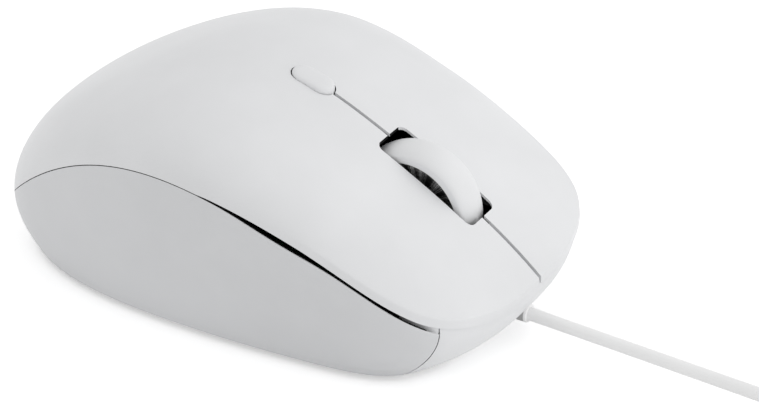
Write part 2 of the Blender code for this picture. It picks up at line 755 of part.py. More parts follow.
def build_key_switch(side, name):
    place = (side * SWITCH_X, SWITCH_Y - SWITCH_OFFSET, ON_BOARD)
    body = box(name + "_switch", place, SWITCH_SIZE, BLACK)
    foot = PLUNGER_TOP - PLUNGER_RISE - PLUNGER_ROOT
    seat = [size + 2 * CLEARANCE for size in PLUNGER_SIZE]
    well = foot - PLUNGER_RISE - CLEARANCE
    cut(body, box(name + "_well", (side * SWITCH_X, SWITCH_Y, well), (*seat, PLUNGER_TOP)))
    seat_point = (side * SWITCH_X, SWITCH_Y, foot)
    plunger = box(name + "_plunger", seat_point, (*PLUNGER_SIZE, PLUNGER_TOP - foot), WHITE)
    set_origin(plunger, seat_point)


def build_tact_switch(x, y, name):
    body = box(name + "_switch", (x, y, ON_BOARD), TACT_SIZE, BLACK)
    face = ON_BOARD + TACT_SIZE[2]
    foot = face - PLUNGER_ROOT
    well = foot - TACT_RISE - CLEARANCE
    cut(body, rod(name + "_well", (x, y, well), (x, y, 2 * face), TACT_PLUNGER_RADIUS + CLEARANCE))
    top = (x, y, face + TACT_RISE)
    plunger = rod(name + "_plunger", (x, y, foot), top, TACT_PLUNGER_RADIUS, WHITE, sides=16)
    set_origin(plunger, (x, y, foot))


def build_optics():
    box("optical_sensor", (0, SENSOR_Y, ON_BOARD), SENSOR_SIZE, BLACK)
    lens_bottom = FLOOR_TOP + CLEARANCE
    lens_depth = BOARD_BOTTOM - CLEARANCE - lens_bottom
    box("sensor_lens", (0, SENSOR_Y, lens_bottom), (*LENS_SIZE, lens_depth), CLEAR)
    shoulder = (0, LED_Y, ON_BOARD + LED_HEIGHT - LED_RADIUS)
    led = rod("illumination_led", (0, LED_Y, ON_BOARD), shoulder, LED_RADIUS, CLEAR, sides=16)
    dome = bmesh.new()
    bmesh.ops.create_uvsphere(dome, u_segments=16, v_segments=8, radius=LED_RADIUS)
    bmesh.ops.translate(dome, vec=shoulder, verts=dome.verts)
    join(led, from_bmesh("led_dome", dome, None))
    for name, side in (("encoder_detector", 1), ("encoder_emitter", -1)):
        box(name, (side * ENCODER_X, WHEEL_Y, ON_BOARD), ENCODER_SIZE, BLACK)


# Wheel and cradle

def build_wheel():
    centre = (0, WHEEL_Y, WHEEL_Z)
    half = TYRE_WIDTH / 2
    crown = [(half * math.cos(a), math.sin(a)) for a in np.linspace(0, math.pi, 7)]
    edge = WHEEL_RADIUS - TYRE_EDGE_DROP
    outer = [(edge + TYRE_EDGE_DROP * rise, along) for along, rise in crown]
    profile = outer + [(TYRE_INNER_RADIUS, -half), (TYRE_INNER_RADIUS, half)]
    turned("wheel_tyre", profile, centre, (1, 0, 0), RUBBER, steps=32)
    rim_outer = TYRE_INNER_RADIUS - CLEARANCE
    rim_inner = rim_outer - HUB_RIM
    bore = AXLE_RADIUS + CLEARANCE
    wide, web = HUB_WIDTH / 2, HUB_WEB / 2
    rim = [(rim_outer, wide), (rim_inner, wide), (rim_inner, web)]
    boss = [(HUB_BOSS, web), (HUB_BOSS, wide), (bore, wide)]
    hub_profile = rim + boss + [(r, -z) for r, z in reversed(rim + boss)]
    hub = turned("wheel_hub", hub_profile, centre, (1, 0, 0), BLACK)
    slot_middle = (rim_inner + HUB_BOSS) / 2
    slot_depth = (rim_inner - HUB_BOSS) / 2
    slots = bmesh.new()
    for step in range(HUB_SLOTS):
        angle = 2 * math.pi * step / HUB_SLOTS
        made = bmesh.ops.create_cube(slots, size=1.0)["verts"]
        bmesh.ops.scale(slots, vec=(HUB_WIDTH, HUB_SLOT_WIDTH, slot_depth), verts=made)
        bmesh.ops.translate(slots, vec=(0, 0, slot_middle), verts=made)
        turn = Matrix.Rotation(angle, 3, "X")
        bmesh.ops.rotate(slots, matrix=turn, verts=made)
    bmesh.ops.translate(slots, vec=centre, verts=slots.verts)
    bmesh.ops.recalc_face_normals(slots, faces=slots.faces)
    cut(hub, from_bmesh("hub_slots", slots, None))
    ends = [(side * ARM_OUTER, WHEEL_Y, WHEEL_Z) for side in (-1, 1)]
    set_origin(rod("wheel_axle", *ends, AXLE_RADIUS, STEEL, sides=16), centre)


def side_plate(name, first, last, radius, inner, outer):
    """A bar with round ends in a plane of Y and Z, between two values of X."""
    made = plate(name, stadium(first, last, radius), inner, outer)
    for vertex in made.data.vertices:
        vertex.co = (vertex.co.z, vertex.co.x, vertex.co.y)
    return made


def build_cradle():
    pivot, axle, front = (PIVOT_Y, PIVOT_Z), (WHEEL_Y, WHEEL_Z), (CRADLE_FRONT_Y, CRADLE_FRONT_Z)
    half = ARM_DEPTH / 2
    cradle = rod("wheel_carrier", (-ARM_OUTER, *pivot), (ARM_OUTER, *pivot), half, BLACK)
    bar_size = (2 * ARM_INNER + ARM_THICKNESS, CRADLE_BAR, ARM_DEPTH / 2)
    for side in (1, -1):
        ends = sorted((side * ARM_INNER, side * ARM_OUTER))
        join(cradle, side_plate("rear_arm", pivot, axle, half, *ends))
        join(cradle, side_plate("front_arm", axle, front, half * FRONT_ARM_SHARE, *ends))
    join(cradle, box("front_bar", (0, CRADLE_FRONT_Y, CRADLE_FRONT_Z - ARM_DEPTH / 4), bar_size))
    tab_bottom = ON_BOARD + TACT_SIZE[2] + TACT_RISE + CLEARANCE
    tab_reach = MIDDLE_SWITCH_X + TACT_PLUNGER_RADIUS - ARM_INNER
    tab_middle = ARM_INNER + tab_reach / 2
    tab_size = (tab_reach, 2 * TAB_HEIGHT, TAB_HEIGHT)
    root_size = (ARM_THICKNESS / 2, TAB_HEIGHT, WHEEL_Z - ARM_DEPTH / 4 - tab_bottom)
    root_middle = ARM_INNER + ARM_THICKNESS / 2
    join(cradle, box("tab", (tab_middle, MIDDLE_SWITCH_Y, tab_bottom), tab_size))
    join(cradle, box("tab_root", (root_middle, MIDDLE_SWITCH_Y, tab_bottom), root_size))
    for name, (y, z), radius in (("pin_bore", pivot, PIN_RADIUS), ("axle_bore", axle, AXLE_RADIUS)):
        cut(cradle, rod(name, (-HALF_WIDTH, y, z), (HALF_WIDTH, y, z), radius + CLEARANCE, sides=16))
    set_origin(cradle, (0, PIVOT_Y, PIVOT_Z))


def build_cradle_bracket():
    ear = ARM_OUTER + CLEARANCE + BRACKET_EAR / 2
    width = 2 * ear + BRACKET_EAR
    bracket = box("carrier_bracket", (0, PIVOT_Y, ON_BOARD), (width, BRACKET_DEPTH, BRACKET_BASE), BLACK)
    ear_top = PIVOT_Z + BRACKET_DEPTH / 2 - ON_BOARD
    for side in (1, -1):
        join(bracket, box("ear", (side * ear, PIVOT_Y, ON_BOARD), (BRACKET_EAR, BRACKET_DEPTH, ear_top)))
    bore_ends = [(x, PIVOT_Y, PIVOT_Z) for x in (-width, width)]
    pin_ends = [(x, PIVOT_Y, PIVOT_Z) for x in (-width / 2, width / 2)]
    cut(bracket, rod("ear_bore", *bore_ends, PIN_RADIUS + CLEARANCE, sides=16))
    rod("carrier_pin", *pin_ends, PIN_RADIUS, STEEL, sides=16)


def build_carrier_spring():
    bottom = ON_BOARD + SPRING_WIRE
    top = CRADLE_FRONT_Z - ARM_DEPTH / 4 - CLEARANCE - SPRING_WIRE
    points = []
    for step in range(SPRING_TURNS * SPRING_STEPS + 1):
        share = step / (SPRING_TURNS * SPRING_STEPS)
        angle = 2 * math.pi * step / SPRING_STEPS
        x, y = SPRING_RADIUS * math.cos(angle), CRADLE_FRONT_Y + SPRING_RADIUS * math.sin(angle)
        points.append((x, y, bottom + (top - bottom) * share))
    wire = tube("carrier_spring", points, SPRING_WIRE, STEEL)
    wire.data.bevel_resolution = 1


# Cable

def smooth_route(points, spacing):
    """Points along a smooth curve through a route, about as far apart as the spacing."""
    points = [Vector(p) for p in points]
    points = [2 * points[0] - points[1], *points, 2 * points[-1] - points[-2]]
    route = []
    for a, b, c, d in zip(points, points[1:], points[2:], points[3:]):
        steps = max(1, round((c - b).length / spacing))
        for step in range(steps):
            t = step / steps
            square, cube = 2 * a - 5 * b + 4 * c - d, 3 * b - a - 3 * c + d
            route.append((2 * b + (c - a) * t + square * t**2 + cube * t**3) / 2)
    return [*route, points[-2]]


def build_grommet():
    ring_start = EXIT_Y - GROMMET_RING_LENGTH
    body = rod("cable_grommet", (0, GROMMET_REAR, EXIT_Z), (0, EXIT_Y, EXIT_Z), GROMMET_RADIUS, CABLE)
    ring = rod("grommet_ring", (0, ring_start, EXIT_Z), (0, EXIT_Y, EXIT_Z), GROMMET_RING)
    join(body, ring)


def build_inner_cable():
    box("cable_socket", (SOCKET_X, SOCKET_Y, ON_BOARD), SOCKET_SIZE, WHITE)
    plug_face = SOCKET_X - SOCKET_SIZE[0] / 2 - CLEARANCE
    plug_middle = (plug_face - CABLE_PLUG_LENGTH / 2, SOCKET_Y, ON_BOARD)
    box("cable_plug", plug_middle, (CABLE_PLUG_LENGTH, *SOCKET_SIZE[1:]), WHITE)
    entry = Vector((plug_face - CABLE_PLUG_LENGTH - CLEARANCE, SOCKET_Y, ON_BOARD + SOCKET_SIZE[2] / 2))
    route = [(0, GROMMET_REAR - CLEARANCE, EXIT_Z)]
    for out, along, height in INNER_ROUTE:
        route.append((out * (SIDE_MARGIN - HALF_WIDTH), between((SOCKET_Y, GROMMET_REAR), along), height))
    for out, along, height in PLUG_APPROACH:
        route.append(entry + Vector((-out, along, height)))
    tube("inner_cable", smooth_route([*route, entry], 2.5 * CABLE_RADIUS), CABLE_RADIUS, CABLE)


def build_free_cable():
    route = [(0, EXIT_Y + CLEARANCE, EXIT_Z)]
    route += [(0, EXIT_Y + distance, height) for distance, height in RUN_ROUTE]
    tube("cable", smooth_route(route, 5 * CABLE_RADIUS), CABLE_RADIUS, CABLE)
    depth, height = 2 * COIL_HALF_DEPTH, COIL_TOP - COIL_BOTTOM
    middle = (COIL_MEAN_RADIUS, (COIL_BOTTOM + COIL_TOP) / 2)
    profile = rounded_rectangle(middle, (depth, height), CABLE_RADIUS, steps=2)
    turned("cable_coil", profile, (*COIL_CENTRE, 0), (0, 0, 1), CABLE)


def build_tail():
    """The cable's last bend over the coil, into the plug."""
    middle_x = COIL_CENTRE[0] - TAIL_BEND
    bend_y = COIL_CENTRE[1] - TAIL_SETBACK
    low = COIL_TOP + CLEARANCE + CABLE_RADIUS
    points = [(middle_x - TAIL_BEND, COIL_CENTRE[1], low)]
    for step in range(TAIL_STEPS + 1):
        share = step / TAIL_STEPS
        angle = math.pi * (1 + share)
        rise = share * share * (3 - 2 * share)
        x, y = middle_x + TAIL_BEND * math.cos(angle), bend_y + TAIL_BEND * math.sin(angle)
        points.append((x, y, low + (PLUG_Z - low) * rise))
    points.append((COIL_CENTRE[0], PLUG_REAR - CLEARANCE, PLUG_Z))
    tube("cable_tail", smooth_route(points, 2.5 * CABLE_RADIUS), CABLE_RADIUS, CABLE)


def lying_box(name, rear, length, size, corner, finish):
    """A rounded bar along Y on the plug's axis: size is across X and Z."""
    made = plate(name, rounded_rectangle((0, 0), size, corner), rear, rear + length, finish)
    for vertex in made.data.vertices:
        x, z, y = vertex.co
        vertex.co = (COIL_CENTRE[0] - x, y, PLUG_Z + z)
    return made


def build_usb_plug():
    lying_box("usb_overmould", PLUG_REAR, PLUG_LENGTH, PLUG_SIZE, PLUG_CORNER, WHITE)
    rear = PLUG_REAR + PLUG_LENGTH + CLEARANCE
    case = lying_box("usb_shell", rear, USB_LENGTH, USB_SIZE, USB_CORNER, STEEL)
    hollow = [size - 2 * USB_SKIN for size in USB_SIZE]
    cut(case, lying_box("usb_hollow", rear + USB_SKIN, USB_LENGTH, hollow, USB_CORNER / 2, None))
    width = hollow[0] - 2 * CLEARANCE
    length = USB_LENGTH - 2 * USB_SKIN - 2 * CLEARANCE
    middle_y = rear + USB_SKIN + CLEARANCE + length / 2
    bottom = PLUG_Z + hollow[1] / 2 - CLEARANCE - TONGUE_HEIGHT
    box("usb_tongue", (COIL_CENTRE[0], middle_y, bottom), (width, length, TONGUE_HEIGHT), WHITE)


def build_cable_tie():
    """A flat strap round the coil's turns, on the side where the cable arrives."""
    hollow = (2 * COIL_HALF_DEPTH + 2 * CLEARANCE, COIL_TOP - COIL_BOTTOM + 2 * CLEARANCE)
    strap = [size + 2 * TIE_THICKNESS for size in hollow]
    middle = (COIL_CENTRE[0] + COIL_MEAN_RADIUS, (COIL_BOTTOM + COIL_TOP) / 2)
    half = TIE_WIDTH / 2
    outer = rounded_rectangle(middle, strap, TIE_CORNER + TIE_THICKNESS)
    tie = plate("cable_tie", outer, -half, half, WHITE)
    hole = plate("tie_hole", rounded_rectangle(middle, hollow, TIE_CORNER), -TIE_WIDTH, TIE_WIDTH)
    for made in (tie, hole):
        for vertex in made.data.vertices:
            x, z, y = vertex.co
            vertex.co = (x, COIL_CENTRE[1] - y, z)
    cut(tie, hole)


def build():
    build_palm_cover()
    for name, side in (("right", 1), ("left", -1)):
        build_key(name + "_button", side)
        build_side_panel(name + "_side_panel", side)
        build_key_switch(side, name)
    build_pill()
    build_bottom_case()
    build_skates()
    build_screws()
    build_board()
    build_tact_switch(MIDDLE_SWITCH_X, MIDDLE_SWITCH_Y, "middle")
    build_tact_switch(0, PILL_Y, "dpi")
    build_optics()
    build_wheel()
    build_cradle()
    build_cradle_bracket()
    build_carrier_spring()
    build_grommet()
    build_inner_cable()
    build_free_cable()
    build_tail()
    build_usb_plug()
    build_cable_tie()


build()
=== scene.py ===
"""The look of a corded optical mouse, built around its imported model.

Metres, +Z up. +Y is the way the cable leaves and +X is the mouse's right.
"""

import json
import math

import bmesh
import bpy
import numpy as np
from mathutils import Matrix, Vector


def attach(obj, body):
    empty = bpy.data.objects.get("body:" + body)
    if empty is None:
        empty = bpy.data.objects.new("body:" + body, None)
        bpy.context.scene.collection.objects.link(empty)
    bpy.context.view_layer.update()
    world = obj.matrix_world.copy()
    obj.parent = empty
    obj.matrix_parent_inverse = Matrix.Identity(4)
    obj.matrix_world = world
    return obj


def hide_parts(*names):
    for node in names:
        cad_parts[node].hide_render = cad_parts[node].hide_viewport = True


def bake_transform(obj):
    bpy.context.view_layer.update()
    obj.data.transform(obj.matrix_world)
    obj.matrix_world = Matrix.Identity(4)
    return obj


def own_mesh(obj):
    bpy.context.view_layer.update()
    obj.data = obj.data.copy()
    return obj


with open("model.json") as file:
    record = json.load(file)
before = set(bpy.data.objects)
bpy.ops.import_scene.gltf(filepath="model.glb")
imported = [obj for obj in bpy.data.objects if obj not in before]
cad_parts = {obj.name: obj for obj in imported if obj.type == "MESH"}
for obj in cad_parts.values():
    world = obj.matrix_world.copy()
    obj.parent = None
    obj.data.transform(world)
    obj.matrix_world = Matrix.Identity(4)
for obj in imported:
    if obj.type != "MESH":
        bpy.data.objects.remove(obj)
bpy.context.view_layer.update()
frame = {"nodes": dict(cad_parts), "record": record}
MM = 0.001


def millimetres(*rows):
    """Rows of numbers in millimetres, as metres."""
    return [tuple(value * MM for value in row) for row in rows]


# Body, as in the CAD model and a hair inside its box
BODY_LENGTH = 100 * MM
BODY_WIDTH = 62.59 * MM
BODY_HEIGHT = 40.19 * MM
WIDEST_Y = 3.0 * MM
REAR_POWERS = (2.68, 2.86)
FRONT_POWERS = (8.0, 2.65)
FRONT_NARROWING = 0.075
PEAK_Y = -4.4 * MM
TAIL_HEIGHT = 9.3 * MM
TAIL_POWERS = (1.69, 2.03)
RIDGE_SHARES = (0.36, 0.7, 1.0)
RIDGE_HEIGHTS = (34.5 * MM, 24.6 * MM, 12.8 * MM)
SEAM_HEIGHTS = (5.9 * MM, 23.6 * MM, 31.1 * MM, 28.5 * MM, 20.9 * MM, 10.3 * MM)
CROWN = (0.62, 0.75)
SHOULDER = (0.58, 0.75)
BASE_EDGE = 1.0 * MM
BASE_SIDE_SETBACK = 3.9 * MM
BASE_REAR_SETBACK = 3.0 * MM
BASE_FRONT_SETBACK = 8.9 * MM
BULGE = (0.30, 0.55)
BELLY = (0.70, 0.32)
HALF_LENGTH = BODY_LENGTH / 2
HALF_WIDTH = BODY_WIDTH / 2

# Edges of the top: the gap over the side seam, the keys' crease and rim, the slit and the wheel's slot
FLEX_Y = 12.2 * MM
HAIRLINE = 0.18 * MM
GAP_START = 3.0 * MM
GAP_OPENING = 0.6
GAP_WIDEST_Y = 22.0 * MM
GAP_WIDEST = 1.03 * MM
GAP_SETTLED_Y = 37.5 * MM
KEY_GAP = 0.47 * MM
FRONT_GAP = 1.2 * MM
FRONT_GAP_START = 41.0 * MM
FRONT_GAP_FULL = 49.5 * MM
PANEL_DIP = 0.46 * MM
PANEL_DIP_Y = 16.7 * MM
PANEL_DIP_REACH = 11.3 * MM
PANEL_FALL = 0.55 * MM
PANEL_FALL_START = 27.0 * MM
PANEL_FALL_FULL = 41.0 * MM
CREASE_RUN = 13.0 * MM
CREASE = 0.28 * MM
CREASE_SHARE = 0.4
NARROWEST = 4 * CREASE
RIM_HEIGHT = (1.35 * MM, 1.5 * MM)
RIM_SHARE = 0.85
RIM_INSET = (0.44 * MM, 0.38 * MM)
RIM_FRONT_START = 38.0 * MM
RIM_FRONT_FULL = 46.0 * MM
RIM_RUN = 0.22
RIM_RISE = 0.67
SHOULDER_RUN = 24.0 * MM
SLIT = 0.72 * MM
SLIT_REACH = 2.0 * MM
SLOT_WIDTH = 8.3 * MM
SLOT_REAR = 20.75 * MM
SLOT_FRONT = 39.0 * MM
SLOT_CORNER = 1.3 * MM
SLOT_LIP = 0.55 * MM
SLOT_UNDERCUT = 0.9 * MM
SLOT_SHADE_PAINT_LIMIT = 0.2
CUT_HEIGHTS = (0.5 * BODY_HEIGHT, 1.1 * BODY_HEIGHT)
EDGE_SEARCH = (0.3, 1.0)
KEY_TIP = 0.53
OUTLINE_ENDS = 0.9
TOP_WALL = 1.2 * MM
EDGE_WALL = 0.35
PANEL_WALL = 0.9 * MM
PANEL_ROUNDING = (0.05 * MM, 0.2 * MM)
PANEL_SEARCH = (0.0, 0.5)
SIDE_SEAM_Y = 44.5 * MM
PANEL_GAP = 0.16 * MM

# Front wall: how far it is tucked behind the rim, and the strip of it that shows behind the side gap
WALL_TUCK = 0.55 * MM
WALL_TUCK_RUN = 3.0 * MM
WALL_TUCKS = (0.5, 1.0, 0.35)
WALL_BELOW = 0.9
WALL_FADE = 0.35
WALL_LIP = 0.35 * MM
NOSE_WIDTHS = (16.0 * MM, 6.0 * MM)
NOSE_TIP = 0.05 * MM
SLOPE_STEP = 0.01 * MM
TONGUE_START = 37.5 * MM
TONGUE_END = 0.3 * MM
TONGUE_TUCK = (3.0 * MM, 0.45 * MM)
TONGUE_FOOT = 0.08 * MM
TONGUE_WALL = 0.6 * MM

# Fineness: rows and columns of points in the walls, steps of curves, sides of round bodies, and limits
PALM_ROWS = 90
KEY_ROWS = 110
SIDE_ROWS = 120
FRONT_ROWS = 48
TONGUE_ROWS = 16
BASE_ROWS = 70
TOP_COLUMNS = 40
RIM_COLUMNS = 6
EDGE_COLUMNS = 5
SIDE_COLUMNS = 44
FRONT_COLUMNS = 30
SLOT_STEPS = 24
PILL_STEPS = 24
SKATE_STEPS = 20
TYRE_SIDES = 128
HUB_SIDES = 96
NECK_SIDES = 48
SCREW_SIDES = 40
OUTLINE_STEPS = 600
HALVINGS = 40
SAME_POINT = 0.001 * MM
SMOOTH_ANGLE = math.radians(35)

# Underside: edges as (inset, height), the sensor's window, the skates' seats and the screws
FLOOR_PROFILE = millimetres((0.3, 1.0), (0.08, 1.08), (0.0, 1.3), (0.0, 2.7))
SENSOR_Y = -6.0 * MM
WINDOW_SIZE = (6.0 * MM, 8.0 * MM)
WINDOW_CORNER = 1.2 * MM
WINDOW_TOP = 5.0 * MM
BEZEL_SIZE = (10.0 * MM, 12.0 * MM)
BEZEL_CORNER = 2.4 * MM
BEZEL_TOP = 1.45 * MM
SKATES = (("front_foot", "front_skate", 33.0 * MM), ("rear_foot", "rear_skate", -37.5 * MM))
SKATE_REACH = 9.5 * MM
SKATE_RADIUS = 3.5 * MM
SKATE_PROFILE = millimetres((0.35, 0.0), (0.1, 0.06), (0.0, 0.25), (0.0, 1.02))
SEAT_REACH = 9.7 * MM
SEAT_RADIUS = 3.8 * MM
SEAT_TOP = 1.06 * MM
CASE_SCREWS = (("right", 10.0 * MM, -26.0 * MM), ("left", -10.0 * MM, -26.0 * MM))
SCREW_PROFILE = millimetres((0.0, 2.0), (1.95, 2.0), (1.98, 1.4), (1.6, 1.12), (0.0, 1.0))
RECESS_RADIUS = 2.3 * MM
RECESS_TOP = 2.25 * MM
CROSS_Z = 0.95 * MM
CROSS_SIZES = millimetres((0.5, 2.4, 1.2), (2.4, 0.5, 1.2))

# Pill button, with its edge as (inset, rise), and wheel, with the hub's side as (radius, distance)
PILL_Y = 6.0 * MM
PILL_LENGTH = 7.7 * MM
PILL_WIDTH = 4.6 * MM
PILL_REACH = (PILL_LENGTH - PILL_WIDTH) / 2
PILL_PROUD = (0.6 * MM, 1.0 * MM)
PILL_GAP = (0.06 * MM, 0.18 * MM)
PILL_PROFILE = millimetres(
    (0.0, -3.0), (0.0, -0.55), (0.04, -0.41), (0.13, -0.28), (0.3, -0.17),
    (0.55, -0.08), (0.9, -0.03), (1.4, 0.0), (2.1, 0.01),
)
WHEEL_CENTRE = (0.0, 26.5 * MM, 20.0 * MM)
WHEEL_RADIUS = 11.5 * MM
TYRE_HALF = 3.5 * MM
TYRE_DROP = 1.3 * MM
TYRE_INNER = 9.1 * MM
TYRE_LIP = 0.25 * MM
TYRE_SEAT = (0.15 * MM, 0.3 * MM)
TYRE_CROWN = (math.radians(4), math.radians(176))
TYRE_STEPS = 25
HUB_SIDE = millimetres(
    (8.95, 2.72), (8.6, 2.86), (8.2, 2.8), (8.0, 2.5), (7.7, 2.42), (7.3, 2.5),
    (6.8, 1.9), (3.2, 1.7), (2.8, 2.5), (2.3, 2.6), (1.35, 2.6),
)
HUB_SLOTS = 10
HUB_SLOT_SIZE = (8.0 * MM, 1.1 * MM, 2.6 * MM)
HUB_SLOT_RADIUS = 5.0 * MM
HUB_SLOT_EDGE = 0.3 * MM

# Cable: its exit with the neck and the ring as (radius, distance), the run as (y, z), the coil and the tail
CABLE_RADIUS = 1.15 * MM
CABLE_ROUNDNESS = 5
EXIT = (0.0, 47.6 * MM, 5.1 * MM)
NECK_PROFILE = millimetres((1.0, -3.4), (1.64, -3.4), (1.64, 0.2), (1.0, 0.2))
RING_PROFILE = millimetres(
    (1.16, 0.15), (1.58, 0.15), (1.67, 0.24), (1.67, 0.5), (1.6, 0.64), (1.4, 0.7), (1.16, 0.72)
)
RUN_ROUTE = millimetres((54.0, 4.8), (66.0, 4.25), (78.0, 3.7), (90.0, 3.15), (102.6, 2.6))
RUN_SPACING = 3.0 * MM
COIL_CENTRE = (-16.1 * MM, 112.0 * MM)
COIL_OUTER = 16.1 * MM
COIL_INNER = 9.05 * MM
COIL_PITCH = 2.35 * MM
COIL_LOWEST = 1.95 * MM
COIL_ROWS = 4
SPIRAL_TURNS = 3.0
RISE_TURNS = 0.35
LAST_TURNS = 1.1
COIL_STEPS = 32
TAIL_START = 13.7 * MM
TAIL_BEND = 6.85 * MM
TAIL_Y = 106.0 * MM
TAIL_Z = 14.0 * MM
TAIL_LIFT = 0.45
TAIL_STEPS = 12

# Strap round the coil, its section as (thickness, place along Y), and its buckle
TIE_Z = 6.675 * MM
TIE_MIDDLE = (COIL_CENTRE[0] + (COIL_OUTER + COIL_INNER) / 2, TIE_Z)
TIE_SIZE = (10.2 * MM, 12.35 * MM)
TIE_CORNER = 1.1 * MM
TIE_PROFILE = millimetres((0.0, -1.8), (0.22, -1.9), (0.42, -1.8), (0.42, 1.8), (0.22, 1.9), (0.0, 1.8))
BUCKLE_SIZE = (1.4 * MM, 4.6 * MM, 3.0 * MM)
BUCKLE_EDGE = 0.4 * MM
BUCKLE_SUNK = 0.05 * MM
BUCKLE_RISE = 2.0 * MM

# Plug: its body's rear as (distance, width, height), its ribs, and its end as (distance to it, shrink)
PLUG_REAR = 111.0 * MM
PLUG_Z = 16.35 * MM
PLUG_LENGTH = 18.0 * MM
PLUG_SIZE = (14.0 * MM, 7.0 * MM)
PLUG_CORNER = 2.0 * MM
PLUG_CORNER_SHARE = 0.4
PLUG_STAGES = millimetres(
    (0.0, 5.4, 4.6), (0.25, 6.6, 5.0), (3.2, 8.4, 5.6),
    (5.6, 12.6, 6.7), (6.6, 13.6, 6.95), (7.4, 14.0, 7.0),
)
RIB_PLACES = (9.0 * MM, 10.6 * MM, 12.2 * MM)
RIB_PROFILE = millimetres((0.0, 0.0), (0.25, 0.5), (0.75, 0.5), (1.0, 0.0))
RIB_FLATNESS = 0.6
PLUG_END = millimetres((1.1, 0.0), (0.4, 0.2), (0.1, 0.6), (0.0, 1.0))
PLUG_END_CORNER = 1.6 * MM

# Plug's metal shell, and the tongue in it with its contacts as (x, length)
USB_SIZE = (12.0 * MM, 4.5 * MM)
USB_REAR = 129.3 * MM
USB_LENGTH = 12.0 * MM
USB_SKIN = 0.35 * MM
USB_CORNER = 0.6 * MM
USB_LIP = 0.2 * MM
USB_LIP_SHRINK = 0.16 * MM
USB_LIP_CORNER = 0.55 * MM
HOLLOW_CORNER = 0.3 * MM
LATCH_X = 2.6 * MM
LATCH_Y = 6.2 * MM
LATCH_SIZE = (2.2 * MM, 2.6 * MM, 9.0 * MM)
PLUG_TONGUE_SIZE = (10.2 * MM, 10.4 * MM, 1.6 * MM)
PLUG_TONGUE_Y = 6.0 * MM
PLUG_TONGUE_GAP = 0.3 * MM
PLUG_TONGUE_EDGE = 0.2 * MM
PLUG_TONGUE_TOP = PLUG_Z + USB_SIZE[1] / 2 - USB_SKIN - PLUG_TONGUE_GAP
PLUG_TONGUE_BOTTOM = PLUG_TONGUE_TOP - PLUG_TONGUE_SIZE[2]
CONTACTS = millimetres((-3.5, 8.0), (-1.2, 6.6), (1.2, 6.6), (3.5, 8.0))
CONTACT_FRONT = 10.9 * MM
CONTACT_WIDTH = 1.0 * MM
CONTACT_HEIGHT = 0.2 * MM
CONTACT_DROP = 0.04 * MM
CONTACT_EDGE = 0.06 * MM

# Spring under the wheel's carrier
SPRING_Y = 39.2 * MM
SPRING_RADIUS = 1.7 * MM
SPRING_WIRE = 0.35 * MM
SPRING_ENDS = (8.5 * MM, 13.4 * MM)
SPRING_TURNS = 4
SPRING_STEPS = 20
SPRING_SIDES = 10

# Camera: its place round the body's middle, and its lens
CAMERA_TARGET = (0.0, 0.0, 15.35 * MM)
CAMERA_TURN = math.radians(30.378)
CAMERA_RISE = math.radians(30.373)
CAMERA_DISTANCE = 470.15 * MM
CAMERA_SHIFT = (-16.35 * MM, 2.437 * MM)
CAMERA_LENS = 127.96
SENSOR_WIDTH = 36.0
CAMERA_CLIP = 10 * MM

# Light: the world, the white that the camera sees on the floor, and lamps as (name, place, size, watts)
WORLD_LIGHT = 0.77
FLOOR_GLOW = 0.42
FLOOR_TONE = 0.9
FLOOR_SIZE = 4.0
LAMPS = (
    ("front_light", (-0.1, 0.85, 0.28), 0.6, 1.45),
    ("far_light", (-0.6, 0.3, 0.5), 0.6, 0.6),
)
WHITE = (1.0, 1.0, 1.0, 1.0)


# Materials

TONE_STOPS = (0.3, 0.7)
GRAIN_GLOSS = 0.05
GRAIN_RELIEF = 0.35
BRUSH_GLOSS = 0.08
BRUSH_RELIEF = 0.2
BRUSH_DEPTH = 0.01 * MM
BRUSH_LINES = (9000, 300, 9000)
SHEEN_TONE_STOPS = (0.24, 0.42)
FAN_SCALES = (90.0, 5.0)
FAN_RELIEF = 0.3
FAN_DEPTH = 0.02 * MM


def new_material(name):
    made = bpy.data.materials.new(name)
    made.use_nodes = True
    tree = made.node_tree
    return made, tree, tree.nodes["Principled BSDF"]


def set_values(node, **values):
    """Sets a node's sockets, in whose names an underscore stands for a space, or else its properties."""
    for key, value in values.items():
        socket = key.replace("_", " ")
        if socket in node.inputs:
            node.inputs[socket].default_value = value
        else:
            setattr(node, key, value)
    return node


def add_node(tree, kind, **values):
    return set_values(tree.nodes.new(kind), **values)


def add_tones(tree, shader, value, stops, colours):
    """Lets a value choose between two colours."""
    tone = add_node(tree, "ShaderNodeValToRGB")
    for element, stop, colour in zip(tone.color_ramp.elements, stops, colours):
        element.position = stop
        element.color = (*colour, 1.0)
    tree.links.new(value, tone.inputs["Fac"])
    tree.links.new(tone.outputs["Color"], shader.inputs["Base Color"])


def add_gloss(tree, shader, value, roughness, spread):
    """Lets a value change the roughness a little."""
    gloss = add_node(tree, "ShaderNodeMapRange", To_Min=roughness - spread, To_Max=roughness + spread)
    tree.links.new(value, gloss.inputs["Value"])
    tree.links.new(gloss.outputs["Result"], shader.inputs["Roughness"])


def add_relief(tree, shader, value, strength, depth):
    bump = add_node(tree, "ShaderNodeBump", Strength=strength, Distance=depth)
    tree.links.new(value, bump.inputs["Height"])
    tree.links.new(bump.outputs["Normal"], shader.inputs["Normal"])


